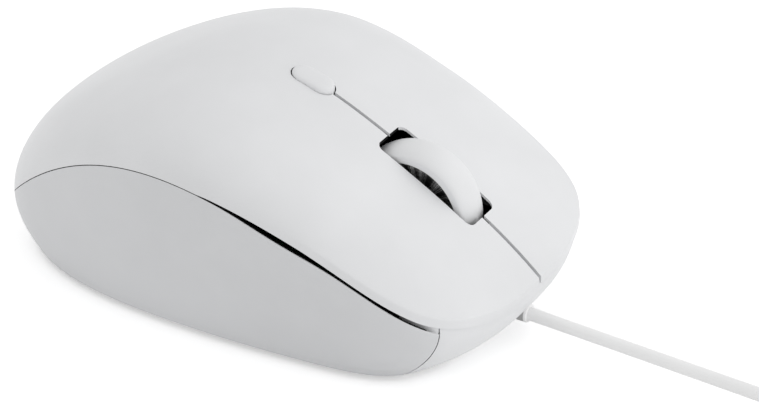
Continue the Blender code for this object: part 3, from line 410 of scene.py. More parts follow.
def grainy(
    name, colour, roughness, grain=0.35 * MM, depth=0.02 * MM, spread=0.03, coarse=20 * MM, **sockets
):
    """A moulded surface: slow changes of tone, fine grain in relief and a gloss that varies with it."""
    made, tree, shader = new_material(name)
    position = add_node(tree, "ShaderNodeTexCoord")
    slow = add_node(tree, "ShaderNodeTexNoise", Scale=1 / coarse, Detail=3.0)
    fine = add_node(tree, "ShaderNodeTexNoise", Scale=1 / grain, Detail=2.0)
    for noise in (slow, fine):
        tree.links.new(position.outputs["Object"], noise.inputs["Vector"])
    colours = [[min(1.0, c * (1 + change)) for c in colour] for change in (-spread, spread)]
    add_tones(tree, shader, slow.outputs["Fac"], TONE_STOPS, colours)
    add_gloss(tree, shader, fine.outputs["Fac"], roughness, GRAIN_GLOSS)
    add_relief(tree, shader, fine.outputs["Fac"], GRAIN_RELIEF, depth)
    set_values(shader, **sockets)
    return made


def brushed(name, colour, roughness):
    """Metal with fine lines along Y."""
    made, tree, shader = new_material(name)
    position = add_node(tree, "ShaderNodeTexCoord")
    squeeze = add_node(tree, "ShaderNodeMapping", Scale=BRUSH_LINES)
    lines = add_node(tree, "ShaderNodeTexNoise", Scale=1.0, Detail=4.0)
    tree.links.new(position.outputs["Object"], squeeze.inputs["Vector"])
    tree.links.new(squeeze.outputs["Vector"], lines.inputs["Vector"])
    add_gloss(tree, shader, lines.outputs["Fac"], roughness, BRUSH_GLOSS)
    add_relief(tree, shader, lines.outputs["Fac"], BRUSH_RELIEF, BRUSH_DEPTH)
    set_values(shader, Base_Color=(*colour, 1.0), Metallic=1.0)
    return made


def fans_of_painted_sheen(name, dark, light, roughness, centre):
    """A glossy disc round the X axis with fine radial lines in relief, and a painted sheen: pale fans of
    colour along them.
    """
    made, tree, shader = new_material(name)
    link = tree.links.new
    position = add_node(tree, "ShaderNodeTexCoord")
    parts = add_node(tree, "ShaderNodeSeparateXYZ")
    link(position.outputs["Object"], parts.inputs["Vector"])
    turn = add_node(tree, "ShaderNodeMath", operation="ARCTAN2")
    for k, (axis, middle) in enumerate((("Z", centre[2]), ("Y", centre[1]))):
        shift = add_node(tree, "ShaderNodeMath", operation="SUBTRACT")
        shift.inputs[1].default_value = middle
        link(parts.outputs[axis], shift.inputs[0])
        link(shift.outputs[0], turn.inputs[k])
    both = add_node(tree, "ShaderNodeMath", operation="MULTIPLY")
    for k, scale in enumerate(FAN_SCALES):
        lines = add_node(tree, "ShaderNodeTexNoise", noise_dimensions="1D", Scale=scale, Detail=1.0)
        link(turn.outputs[0], lines.inputs["W"])
        link(lines.outputs["Fac"], both.inputs[k])
    # Painted highlight: pale fans in the colour, where the glossy hub would catch the light
    add_tones(tree, shader, both.outputs[0], SHEEN_TONE_STOPS, (dark, light))
    add_relief(tree, shader, both.outputs[0], FAN_RELIEF, FAN_DEPTH)
    set_values(shader, Roughness=roughness)
    return made


SHELL = grainy("satin_white_shell", (0.794, 0.80, 0.812), 0.42)
# Painted shade: the same white plastic as the shell, a little darker for the shade on the sides
SIDE_WITH_PAINTED_SHADE = grainy("satin_white_side_painted_shade", (0.714, 0.72, 0.733), 0.46)
# Painted shade: a near-black finish for inner faces, rims and the walls of holes, where the white plastic
# would be in shade
DARK_PAINTED_SHADE = grainy("painted_shade_black", (0.008, 0.008, 0.008), 0.8, Specular_IOR_Level=0.1)
RUBBER = grainy("white_wheel_rubber", (0.8, 0.806, 0.816), 0.5, grain=0.6 * MM)
# The hub's pale fans are a painted highlight
HUB_GLOSS_WITH_PAINTED_SHEEN = fans_of_painted_sheen("glossy_black_hub_painted_sheen", (0.008, 0.008, 0.008), (0.5, 0.5, 0.5), 0.3, WHEEL_CENTRE)
BLACK = grainy("black_moulding", (0.015, 0.015, 0.015), 0.4)
BOARD = grainy("green_board", (0.02, 0.16, 0.06), 0.4, coarse=6 * MM, spread=0.25)
SHEATH = grainy("soft_white_sheath", (0.94, 0.94, 0.94), 0.48, grain=0.5 * MM)
# Painted shade: the neck is grey for the shade that falls on it under the rim
NECK_WITH_PAINTED_SHADE = grainy("neck_painted_shade_grey", (0.42, 0.42, 0.42), 0.6)
SKATE = grainy("slippery_skate", (0.84, 0.84, 0.83), 0.35, grain=0.8 * MM)
LENS = grainy("clear_lens", (0.85, 0.9, 0.95), 0.08, depth=0.002 * MM, Transmission_Weight=0.85, IOR=1.5)
STEEL = brushed("brushed_steel", (0.62, 0.62, 0.64), 0.28)
GOLD = brushed("gold_contact", (0.75, 0.55, 0.22), 0.25)


# The body's surface, as in the CAD model

def between(pair, share):
    return pair[0] + (pair[1] - pair[0]) * share


def ease(share):
    share = min(1.0, max(0.0, share))
    return share * share * (3 - 2 * share)


def superellipse(share, powers):
    return max(0.0, 1 - share ** powers[0]) ** (1 / powers[1])


def half_width(y):
    """Half the body's width at the side seam."""
    if y < WIDEST_Y:
        return HALF_WIDTH * superellipse((WIDEST_Y - y) / (WIDEST_Y + HALF_LENGTH), REAR_POWERS)
    share = (y - WIDEST_Y) / (HALF_LENGTH - WIDEST_Y)
    taper = 1 - FRONT_NARROWING * math.sin(share * math.pi / 2) ** 2
    return HALF_WIDTH * taper * superellipse(share, FRONT_POWERS)


NOSE_DROPS = [BODY_HEIGHT - height for height in RIDGE_HEIGHTS]
NOSE_CURVE = np.linalg.solve([[s**2, s**3, s**4] for s in RIDGE_SHARES], NOSE_DROPS)
SEAM_CURVE = np.polyfit(np.linspace(-1, 1, len(SEAM_HEIGHTS)), SEAM_HEIGHTS, len(SEAM_HEIGHTS) - 1)


def ridge_height(y):
    """Height of the body's middle line."""
    if y < PEAK_Y:
        share = (PEAK_Y - y) / (PEAK_Y + HALF_LENGTH)
        return TAIL_HEIGHT + (BODY_HEIGHT - TAIL_HEIGHT) * superellipse(share, TAIL_POWERS)
    share = (y - PEAK_Y) / (HALF_LENGTH - PEAK_Y)
    return BODY_HEIGHT - float(np.dot(NOSE_CURVE, (share**2, share**3, share**4)))


def seam_height(y):
    return float(np.polyval(SEAM_CURVE, y / HALF_LENGTH))


def length_share(y):
    return y / BODY_LENGTH + 0.5


def curve_shares(s):
    """How much each of the four corners of a cubic curve counts at s."""
    return (1 - s) ** 3, 3 * s * (1 - s) ** 2, 3 * s**2 * (1 - s), s**3


def section_curve(y, corners, s):
    """A point of a cubic curve in the plane of a section, from its four corners (x, z)."""
    shares = curve_shares(s)
    x = sum(share * corner[0] for share, corner in zip(shares, corners))
    z = sum(share * corner[1] for share, corner in zip(shares, corners))
    return Vector((x, y, z))


def top_point(y, s):
    """A point of the right half of the top, from the ridge (s = 0) to the side seam (s = 1)."""
    width, ridge, seam = half_width(y), ridge_height(y), seam_height(y)
    crown = between(CROWN, length_share(y))
    shoulder = seam + between(SHOULDER, length_share(y)) * (ridge - seam)
    return section_curve(y, ((0, ridge), (crown * width, ridge), (width, shoulder), (width, seam)), s)


def side_point(y, s):
    """A point of the right lower side, from the seam (s = 0) to the base's edge (s = 1)."""
    share = length_share(y)
    width, seam = half_width(y), seam_height(y)
    base_width = width * (1 - BASE_SIDE_SETBACK / HALF_WIDTH)
    base_y = between((-HALF_LENGTH + BASE_REAR_SETBACK, HALF_LENGTH - BASE_FRONT_SETBACK), share)
    bulge = between(BULGE, share)
    first, second, third, last = curve_shares(s)
    x = (first + second) * width + third * between((width, base_width), bulge) + last * base_width
    along = (first + second) * y + third * between((y, base_y), bulge) + last * base_y
    height = seam * (first + second * BELLY[0] + third * BELLY[1]) + BASE_EDGE * last
    return Vector((x, along, height))


def solve(function, low, high, wanted):
    """The argument between low and high at which a steady function has the wanted value."""
    rising = function(high) > function(low)
    for _ in range(HALVINGS):
        middle = (low + high) / 2
        if (function(middle) < wanted) == rising:
            low = middle
        else:
            high = middle
    return (low + high) / 2


def slow_ends(first, last, count):
    """Numbers from first to last, close together at both ends."""
    return first + (last - first) * (1 - np.cos(np.linspace(0, np.pi, count))) / 2


def stations(first, last, count):
    """Values of y from first to last along the outline seen from above, close together at its ends."""
    fine = slow_ends(first, last, OUTLINE_STEPS)
    outline = np.array([(half_width(y), y) for y in fine])
    run = np.concatenate([[0], np.cumsum(np.linalg.norm(np.diff(outline, axis=0), axis=1))])
    return [float(y) for y in np.interp(slow_ends(0, run[-1], count), run, fine)]


def edge_gap(y):
    """Height of the gap under the top: a hairline that opens beside the keys and then narrows."""
    opened = min(1.0, max(0.0, (y - GAP_START) / (GAP_WIDEST_Y - GAP_START)))
    gap = between((HAIRLINE, GAP_WIDEST), opened**GAP_OPENING)
    gap = between((gap, KEY_GAP), ease((y - GAP_WIDEST_Y) / (GAP_SETTLED_Y - GAP_WIDEST_Y)))
    return between((gap, FRONT_GAP), ease((y - FRONT_GAP_START) / (FRONT_GAP_FULL - FRONT_GAP_START)))


def edge_height(y):
    """Height of the lower edge of the top."""
    return seam_height(y) + edge_gap(y)


def panel_height(y):
    """Height of the side panels' upper edge: it dips under the rear of the keys and falls at the front."""
    dip = math.cos(math.pi / 2 * min(1.0, abs(y - PANEL_DIP_Y) / PANEL_DIP_REACH)) ** 2
    fall = ease((y - PANEL_FALL_START) / (PANEL_FALL_FULL - PANEL_FALL_START))
    return seam_height(y) - PANEL_DIP * dip - PANEL_FALL * fall


def creased_row(y):
    """Points of the right half of a section of the keys: the top, a crease, and a rim down to the gap."""
    edge = edge_height(y)
    width, ridge = half_width(y), ridge_height(y)
    ahead = ease((y - RIM_FRONT_START) / (RIM_FRONT_FULL - RIM_FRONT_START))
    rim = min(between(RIM_HEIGHT, ahead), RIM_SHARE * (ridge - edge))
    reach, crease = width - min(between(RIM_INSET, ahead), width / 2), edge + rim
    crown = between(CROWN, length_share(y))
    settled = ease((y - FLEX_Y) / SHOULDER_RUN)
    rise = between((between(SHOULDER, length_share(y)), RIM_RISE), settled)
    shoulder = (reach * (1 - RIM_RUN * settled), crease + rise * (ridge - crease))
    corners = ((0, ridge), (crown * reach, ridge), shoulder, (reach, crease))
    corner, foot = Vector((reach, y, crease)), Vector((width, y, edge))
    last = 1 - CREASE / max(NARROWEST, reach)
    steps = TOP_COLUMNS - RIM_COLUMNS - 1
    flat = [section_curve(y, corners, last * j / steps) for j in range(steps + 1)]
    down = corner.lerp(foot, min(CREASE_SHARE, CREASE / rim))
    middle = flat[-1] / 4 + corner / 2 + down / 4
    rim_steps = RIM_COLUMNS - 2
    return flat + [middle, down] + [down.lerp(foot, (j + 1) / rim_steps) for j in range(rim_steps)]


def top_row(y):
    """Points of the right half of a section down to the gap: plain on the palm, and creased on the keys."""
    last = solve(lambda s: top_point(y, s).z, *EDGE_SEARCH, edge_height(y))
    shares = [math.sin(math.pi / 2 * j / (TOP_COLUMNS - 1)) for j in range(TOP_COLUMNS)]
    plain = [top_point(y, last * share) for share in shares]
    return [a.lerp(b, ease((y - FLEX_Y) / CREASE_RUN)) for a, b in zip(plain, creased_row(y))]


def open_slit(row):
    """Moves the start of a section aside by half the slit."""
    reach = min(SLIT_REACH, row[-1].x)
    opened = []
    for point in row:
        aside = SLIT / 2 * max(0.0, 1 - point.x / reach)
        opened.append(point + Vector((aside, 0, 0)))
    return opened


def mirror_x(points):
    return [Vector((-p.x, p.y, p.z)) for p in points]


def on_side(row, side):
    """A row of points of the right half, or its mirror image for the left."""
    return row if side > 0 else mirror_x(row)


# Building blocks

def add(name, data, *finishes):
    made = bpy.data.objects.new(name, data)
    bpy.context.scene.collection.objects.link(made)
    for finish in finishes:
        data.materials.append(finish)
    return made


def smooth(made):
    made.data.shade_smooth()
    made.data.set_sharp_from_angle(angle=SMOOTH_ANGLE)
    return made


def from_bmesh(name, shape, finish):
    mesh = bpy.data.meshes.new(name)
    bmesh.ops.recalc_face_normals(shape, faces=shape.faces)
    shape.to_mesh(mesh)
    shape.free()
    return smooth(add(name, mesh, finish))


def apply(made):
    """Turns an object's modifiers into its mesh."""
    bpy.context.view_layer.update()
    graph = bpy.context.evaluated_depsgraph_get()
    mesh = bpy.data.meshes.new_from_object(made.evaluated_get(graph))
    old = made.data
    made.modifiers.clear()
    made.data = mesh
    bpy.data.meshes.remove(old)
    return smooth(made)


def cut(made, *others):
    """Takes other objects away from one, and deletes them."""
    for other in others:
        step = made.modifiers.new(other.name, "BOOLEAN")
        step.operation = "DIFFERENCE"
        step.solver = "MANIFOLD"
        step.material_mode = "TRANSFER"
        step.object = other
    apply(made)
    for other in others:
        mesh = other.data
        bpy.data.objects.remove(other)
        bpy.data.meshes.remove(mesh)


def shell(name, rows, wall, outside, reverse=False, thin_edges=0, shade_painted_rim=False):
    """A wall through rows of points, thickened inwards, with painted shade on its inner faces and, if
    asked, on its rims.

    It gets thinner towards the end of each row (thin_edges = 1) or towards both ends (2).
    """
    columns = len(rows[0])
    faces = []
    for i in range(len(rows) - 1):
        for j in range(columns - 1):
            a, b = i * columns + j, (i + 1) * columns + j
            face = (a, a + 1, b + 1, b)
            faces.append(face[::-1] if reverse else face)
    mesh = bpy.data.meshes.new(name)
    mesh.from_pydata([point for row in rows for point in row], [], faces)
    made = add(name, mesh, outside, DARK_PAINTED_SHADE)
    group = made.vertex_groups.new(name="wall")
    for i in range(len(rows)):
        for j in range(columns):
            near = min(j, columns - 1 - j) if thin_edges == 2 else columns - 1 - j
            weight = between((EDGE_WALL, 1.0), ease(near / EDGE_COLUMNS)) if thin_edges else 1.0
            group.add([i * columns + j], weight, "REPLACE")
    weld = made.modifiers.new("weld", "WELD")
    weld.merge_threshold = SAME_POINT
    thicken = made.modifiers.new("wall", "SOLIDIFY")
    thicken.thickness = wall
    thicken.offset = -1.0
    # The inner faces, and the rims where asked, get painted shade
    thicken.material_offset = 1
    thicken.material_offset_rim = int(shade_painted_rim)
    thicken.vertex_group = group.name
    return apply(made)


def bridge(shape, rings, closed=False):
    """Adds the faces between neighbouring rings of points, and between the last and the first if closed."""
    count = len(rings[0])
    for first, second in zip(rings, rings[1:] + rings[:1] if closed else rings[1:]):
        for k in range(count):
            shape.faces.new((first[k], first[(k + 1) % count], second[(k + 1) % count], second[k]))


def loft(name, loops, finish):
    """A closed body through loops of the same number of points."""
    shape = bmesh.new()
    rings = [[shape.verts.new(point) for point in loop] for loop in loops]
    bridge(shape, rings)
    shape.faces.new(rings[0])
    shape.faces.new(rings[-1])
    return from_bmesh(name, shape, finish)


def lathe(name, profile, centre, axis, finish, sides):
    """A body turned round an axis from a closed profile of (radius, distance along the axis)."""
    turn = Vector(axis).to_track_quat("Z", "Y").to_matrix()
    shape = bmesh.new()
    rings = []
    for k in range(sides):
        angle = 2 * math.pi * k / sides
        ring = []
        for radius, along in profile:
            point = turn @ Vector((radius * math.cos(angle), radius * math.sin(angle), along))
            ring.append(shape.verts.new(point + Vector(centre)))
        rings.append(ring)
    bridge(shape, rings, closed=True)
    bmesh.ops.remove_doubles(shape, verts=shape.verts, dist=SAME_POINT)
    return from_bmesh(name, shape, finish)


def soft_box(name, centre, size, radius, finish, segments=3):
    """A box round its centre, with rounded edges unless the radius is 0."""
    shape = bmesh.new()
    bmesh.ops.create_cube(shape, size=1.0)
    bmesh.ops.scale(shape, vec=size, verts=shape.verts)
    if radius:
        bmesh.ops.bevel(
            shape, geom=shape.edges[:], offset=radius, segments=segments, profile=0.5, affect="EDGES"
        )
    bmesh.ops.translate(shape, vec=centre, verts=shape.verts)
    return from_bmesh(name, shape, finish)


def circle(centre, radius, sides):
    angles = [2 * math.pi * k / sides for k in range(sides)]
    return [(centre[0] + radius * math.cos(a), centre[1] + radius * math.sin(a)) for a in angles]


def stadium(centre, reach, radius, axis="Y", steps=12):
    """Outline of a bar with round ends, along X or Y."""
    outline = []
    for end, start in ((1, -math.pi / 2), (-1, math.pi / 2)):
        for step in range(steps + 1):
            angle = start + math.pi * step / steps
            along, across = end * reach + radius * math.cos(angle), radius * math.sin(angle)
            x, y = (-across, along) if axis == "Y" else (along, across)
            outline.append((centre[0] + x, centre[1] + y))
    return outline


def rounded_rectangle(centre, size, radius, steps=6):
    outline = []
    for quarter, (sx, sy) in enumerate(((1, 1), (-1, 1), (-1, -1), (1, -1))):
        corner = centre[0] + sx * (size[0] / 2 - radius), centre[1] + sy * (size[1] / 2 - radius)
        for step in range(steps + 1):
            angle = math.pi / 2 * (quarter + step / steps)
            outline.append((corner[0] + radius * math.cos(angle), corner[1] + radius * math.sin(angle)))
    return outline


def at_height(outline, z):
    return [(x, y, z) for x, y in outline]


# Cutters pass their finish to the faces they cut, so by default holes and recesses get painted shade
def prism(name, outline, bottom, top, finish=DARK_PAINTED_SHADE):
    return loft(name, [at_height(outline, bottom), at_height(outline, top)], finish)


def place(made, body, slot, *nodes):
    """Lets a piece ride on a body and hides the solids that it stands for; its slot is not used."""
    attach(made, body)
    if nodes:
        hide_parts(*nodes)
    return made


# Top: one moulding whose two keys flex on the mouse; here the keys are built as still pieces

def build_palm():
    rows = []
    for y in stations(-HALF_LENGTH, FLEX_Y, PALM_ROWS):
        half = top_row(y)
        rows.append(mirror_x(half[:0:-1]) + half)
    palm = shell("palm_top", rows, TOP_WALL, SHELL, thin_edges=2)
    hole = stadium((0, PILL_Y), PILL_REACH + PILL_GAP[1], PILL_WIDTH / 2 + PILL_GAP[0], steps=PILL_STEPS)
    # The pill hole's walls get painted shade
    cut(palm, prism("pill_hole", hole, *CUT_HEIGHTS))
    side, rear, front = SLIT / 2, PILL_Y + PILL_LENGTH / 2, FLEX_Y + SLIT
    slit = [(side, rear), (side, front), (-side, front), (-side, rear)]
    cut(palm, prism("slit_end", slit, *CUT_HEIGHTS, SHELL))
    place(palm, "case", "white_shell", "palm_cover")


def slot_cutter():
    """The wheel's slot: pale along its sides and round its corners, and painted shade at its ends."""
    middle = (SLOT_REAR + SLOT_FRONT) / 2
    outline = rounded_rectangle((0, middle), (SLOT_WIDTH, SLOT_FRONT - SLOT_REAR), SLOT_CORNER)
    cutter = prism("wheel_slot", outline, 0, BODY_HEIGHT, SHELL)
    cutter.data.materials.append(DARK_PAINTED_SHADE)
    for face in cutter.data.polygons:
        # Faces that look along Y, the slot's ends, get painted shade
        face.material_index = int(abs(face.normal.x) < SLOT_SHADE_PAINT_LIMIT)
    return cutter


def slot_undercut():
    """What is taken away beside the slot, so that only a thin lip stays round it."""
    reach = SLOT_WIDTH / 2 + SLOT_UNDERCUT
    loops = []
    for y in np.linspace(SLOT_REAR - SLOT_UNDERCUT, SLOT_FRONT + SLOT_UNDERCUT, SLOT_STEPS):
        top = ridge_height(y) - SLOT_LIP
        loops.append([(-reach, y, 0), (reach, y, 0), (reach, y, top), (-reach, y, top)])
    # The faces it cuts under the lip get painted shade
    return loft("slot_undercut", loops, DARK_PAINTED_SHADE)


def build_key(name, side):
    tip = solve(half_width, OUTLINE_ENDS * HALF_LENGTH, HALF_LENGTH, KEY_TIP * SLIT)
    rows = [on_side(open_slit(top_row(y)), side) for y in stations(FLEX_Y, tip, KEY_ROWS)]
    key = shell(name + "_key_top", rows, TOP_WALL, SHELL, reverse=side < 0, thin_edges=1)
    cut(key, slot_undercut())
    cut(key, slot_cutter())
    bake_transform(key)
    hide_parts(name + "_button")


def build_pill():
    """The pill button: its sides fall away in a soft round to the top's surface."""
    loops = []
    for inset, rise in PILL_PROFILE:
        loop = []
        for x, y in stadium((0, PILL_Y), PILL_REACH, PILL_WIDTH / 2 - inset, steps=PILL_STEPS):
            proud = between(PILL_PROUD, (y - PILL_Y) / PILL_LENGTH + 0.5)
            loop.append((x, y, ridge_height(y) + proud + rise))
        loops.append(loop)
    place(loft("pill_cap", loops, SHELL), "pill", "white_shell", "dpi_button")


# Lower body

def side_row(y):
    """Points of the right lower side, from a rounded upper edge to the base."""
    rounding = between(PANEL_ROUNDING, ease((y - GAP_START) / FLEX_Y))
    top = panel_height(y)
    first = solve(lambda s: side_point(y, s).z, *PANEL_SEARCH, top)
    row = []
    for j in range(SIDE_COLUMNS):
        share = 1 - math.cos(math.pi / 2 * j / (SIDE_COLUMNS - 1))
        point = side_point(y, between((first, 1.0), share))
        above = min(1.0, max(0.0, 1 - (top - point.z) / rounding))
        inset = rounding * (1 - math.sqrt(1 - above**2))
        point.x = max(point.x - inset, PANEL_GAP / 2)
        row.append(point)
    return row


def build_side(name, side):
    first = solve(half_width, -HALF_LENGTH, -OUTLINE_ENDS * HALF_LENGTH, PANEL_GAP / 2)
    last = SIDE_SEAM_Y - PANEL_GAP / 2
    rows = [on_side(side_row(y), side) for y in stations(first, last, SIDE_ROWS)]
    # The panels' darker finish is painted shade
    panel = shell(name + "_side", rows, PANEL_WALL, SIDE_WITH_PAINTED_SHADE, reverse=side < 0, shade_painted_rim=True)
    place(panel, "case", "side_shell", name + "_side_panel")


def build_tongue(name, side):
    """The end of the front wall behind the gap, which comes out towards the side seam."""
    last = SIDE_SEAM_Y - TONGUE_END
    rows = []
    for y in np.linspace(TONGUE_START, last, TONGUE_ROWS):
        share = (y - TONGUE_START) / (last - TONGUE_START)
        tuck, foot_tuck = between(TONGUE_TUCK, share), between((TONGUE_TUCK[0], TONGUE_FOOT), share)
        width = half_width(y)
        top, foot = edge_height(y) - tuck / 2, panel_height(y) - foot_tuck + 2 * TONGUE_FOOT
        heights = [between((top, foot + TONGUE_FOOT), half) for half in (0, 0.5, 1)]
        row = [Vector((width - tuck, y, z)) for z in heights] + [Vector((width - foot_tuck, y, foot))]
        rows.append(on_side(row, side))
    tongue = shell(name + "_tongue", rows, TONGUE_WALL, SHELL, reverse=side < 0)
    place(tongue, "case", "white_shell")


def inward_at(y):
    """The level direction from the outline into the body, straight back at the tip of the nose."""
    if half_width(y) < NOSE_TIP:
        return Vector((0, -1, 0))
    ahead = side_point(min(HALF_LENGTH, y + SLOPE_STEP), 0) - side_point(y - SLOPE_STEP, 0)
    return Vector((-ahead.y, ahead.x, 0)).normalized()


def front_row(y):
    """Points of the right half of the front wall, from behind the rim to the base."""
    seam, width, inward = side_point(y, 0), half_width(y), inward_at(y)
    tucked = between(WALL_TUCKS[:2], ease((half_width(SIDE_SEAM_Y) - width) / WALL_TUCK_RUN))
    nose = ease((NOSE_WIDTHS[0] - width) / (NOSE_WIDTHS[0] - NOSE_WIDTHS[1]))
    tucked = between((tucked, WALL_TUCKS[2]), nose)
    below = []
    for j in range(FRONT_COLUMNS):
        point = side_point(y, 1 - math.cos(math.pi / 2 * j / (FRONT_COLUMNS - 1)))
        fade = ease((point.z / seam.z - WALL_FADE) / (1 - WALL_FADE))
        below.append(point + inward * (WALL_BELOW * WALL_TUCK * tucked * fade))
    lip = seam + inward * WALL_TUCK
    lip.z = edge_height(y) + WALL_LIP
    return [lip, lip.lerp(below[0], 0.5)] + below


def build_front_wall():
    """The wall under the keys' front, tucked behind the rim: less so at the side seams and the nose."""
    right = [front_row(y) for y in stations(SIDE_SEAM_Y + PANEL_GAP / 2, HALF_LENGTH, FRONT_ROWS)]
    rows = right + [mirror_x(row) for row in right[-2::-1]]
    place(shell("front_wall", rows, PANEL_WALL, SHELL), "case", "white_shell", "bottom_case")


def build_neck():
    # Its grey finish is painted shade
    neck = lathe("cable_neck", NECK_PROFILE, EXIT, (0, 1, 0), NECK_WITH_PAINTED_SHADE, NECK_SIDES)
    place(neck, "case", "cable_sheath")


def base_outline(inset):
    """The floor's outline, inside the feet of the walls."""
    points = [side_point(y, 1) for y in stations(-HALF_LENGTH, HALF_LENGTH, BASE_ROWS)]
    outline = [(p.x, p.y) for p in points] + [(-p.x, p.y) for p in points[-2:0:-1]]
    moved = []
    for i, (x, y) in enumerate(outline):
        before, after = outline[i - 1], outline[(i + 1) % len(outline)]
        along = Vector((after[0] - before[0], after[1] - before[1])).normalized()
        moved.append((x - along.y * inset, y + along.x * inset))
    return moved


def build_floor():
    gap = PANEL_WALL + PANEL_GAP
    loops = [at_height(base_outline(gap + inset), z) for inset, z in FLOOR_PROFILE]
    floor = loft("floor_plate", loops, SHELL)
    window = rounded_rectangle((0, SENSOR_Y), WINDOW_SIZE, WINDOW_CORNER)
    bezel = rounded_rectangle((0, SENSOR_Y), BEZEL_SIZE, BEZEL_CORNER)
    cutters = [prism("sensor_window", window, 0, WINDOW_TOP), prism("sensor_bezel", bezel, 0, BEZEL_TOP)]
    for _, x, y in CASE_SCREWS:
        recess = circle((x, y), RECESS_RADIUS, SCREW_SIDES)
        cutters.append(prism("screw_recess", recess, 0, RECESS_TOP))
    for _, _, y in SKATES:
        seat = stadium((0, y), SEAT_REACH, SEAT_RADIUS, "X")
        cutters.append(prism("skate_seat", seat, 0, SEAT_TOP))
    # The walls of the window, bezel, recesses and seats get painted shade
    cut(floor, *cutters)
    place(floor, "case", "white_shell")


def build_skates():
    for name, node, middle in SKATES:
        loops = []
        for inset, z in SKATE_PROFILE:
            outline = stadium((0, middle), SKATE_REACH, SKATE_RADIUS - inset, "X", SKATE_STEPS)
            loops.append(at_height(outline, z))
        place(loft(name, loops, SKATE), "case", "skate", node)


def build_screws():
    for name, x, y in CASE_SCREWS:
        head = lathe(name + "_case_screw_head", SCREW_PROFILE, (x, y, 0), (0, 0, 1), STEEL, SCREW_SIDES)
        for size in CROSS_SIZES:
            # The cross's walls get painted shade
            cut(head, soft_box("cross", (x, y, CROSS_Z), size, 0, DARK_PAINTED_SHADE))
        place(head, "case", "steel", name + "_case_screw")


# Wheel

def build_tyre():
    crown = np.linspace(*TYRE_CROWN, TYRE_STEPS)
    edge = WHEEL_RADIUS - TYRE_DROP
    outer = [(edge + TYRE_DROP * math.sin(a), TYRE_HALF * math.cos(a)) for a in crown]
    lip = TYRE_HALF - TYRE_LIP
    seat = (TYRE_INNER - TYRE_SEAT[0], TYRE_SEAT[1] - lip)
    inner = [(TYRE_INNER + TYRE_LIP, -TYRE_HALF), (TYRE_INNER, -lip), seat]
    inner += [(radius, -along) for radius, along in reversed(inner)]
    tyre = lathe("tyre", outer + inner, WHEEL_CENTRE, (1, 0, 0), RUBBER, TYRE_SIDES)
    place(tyre, "wheel", "wheel_rubber", "wheel_tyre")


def build_hub():
    profile = HUB_SIDE + [(radius, -along) for radius, along in reversed(HUB_SIDE)]
    hub = lathe("hub", profile, WHEEL_CENTRE, (1, 0, 0), HUB_GLOSS_WITH_PAINTED_SHEEN, HUB_SIDES)
    cutters = []
    for step in range(HUB_SLOTS):
        turn = Matrix.Rotation(2 * math.pi * step / HUB_SLOTS, 4, "X")
        spot = (0, 0, HUB_SLOT_RADIUS)
        slot = soft_box("hub_slot", spot, HUB_SLOT_SIZE, HUB_SLOT_EDGE, HUB_GLOSS_WITH_PAINTED_SHEEN, segments=2)
        slot.data.transform(Matrix.Translation(WHEEL_CENTRE) @ turn)
        cutters.append(slot)
    cut(hub, *cutters)
    place(hub, "wheel", "black_plastic", "wheel_hub")


# Cable and plug

def smooth_route(points, spacing):
    """Points along a smooth curve through a route, about as far apart as the spacing."""
    points = [Vector(p) for p in points]
    points = [2 * points[0] - points[1], *points, 2 * points[-1] - points[-2]]
    route = []
    for a, b, c, d in zip(points, points[1:], points[2:], points[3:]):
        steps = max(1, round((c - b).length / spacing))
        for step in range(steps):
            t = step / steps
            square, cube = 2 * a - 5 * b + 4 * c - d, 3 * b - a - 3 * c + d
            route.append((2 * b + (c - a) * t + square * t**2 + cube * t**3) / 2)
    return [*route, points[-2]]


def coil_point(turn):
    """A point of the coil: flat spirals, in and out by turns, and the last one ends under the tail."""
    row, rest = divmod(turn, SPIRAL_TURNS + RISE_TURNS)
    row = int(row)
    if row < COIL_ROWS:
        ends = (COIL_OUTER, COIL_INNER) if row % 2 == 0 else (COIL_INNER, COIL_OUTER)
        radius = between(ends, min(1.0, rest / SPIRAL_TURNS))
        rise = ease((rest - SPIRAL_TURNS) / RISE_TURNS)
        height = COIL_LOWEST + COIL_PITCH * (row + rise)
    else:
        share = rest / LAST_TURNS
        radius = between((COIL_OUTER, TAIL_START), share)
        lowest = COIL_LOWEST + COIL_PITCH * COIL_ROWS
        height = between((lowest, TAIL_Z), ease((share - TAIL_LIFT) / (1 - TAIL_LIFT)))
    angle = 2 * math.pi * turn
    x, y = COIL_CENTRE[0] + radius * math.cos(angle), COIL_CENTRE[1] + radius * math.sin(angle)
    return Vector((x, y, height))


def cable_route():
    """The cord's points: the run from the exit, the coil, and the tail's bend to the plug."""
    route = [EXIT] + [(0, y, z) for y, z in RUN_ROUTE] + [coil_point(0)]
    points = smooth_route(route, RUN_SPACING)[:-1]
    turns = COIL_ROWS * (SPIRAL_TURNS + RISE_TURNS) + LAST_TURNS
    steps = round(turns * COIL_STEPS)
    points += [coil_point(turns * step / steps) for step in range(steps + 1)]
    middle_x = COIL_CENTRE[0] - TAIL_BEND
    for step in range(TAIL_STEPS + 1):
        share = step / TAIL_STEPS
        angle = math.pi * (1 + share)
        x, y = middle_x + TAIL_BEND * math.cos(angle), TAIL_Y + TAIL_BEND * math.sin(angle)
        points.append(Vector((x, y, between((TAIL_Z, PLUG_Z), ease(share)))))
    points.append(Vector((COIL_CENTRE[0], PLUG_REAR, PLUG_Z)))
    return points


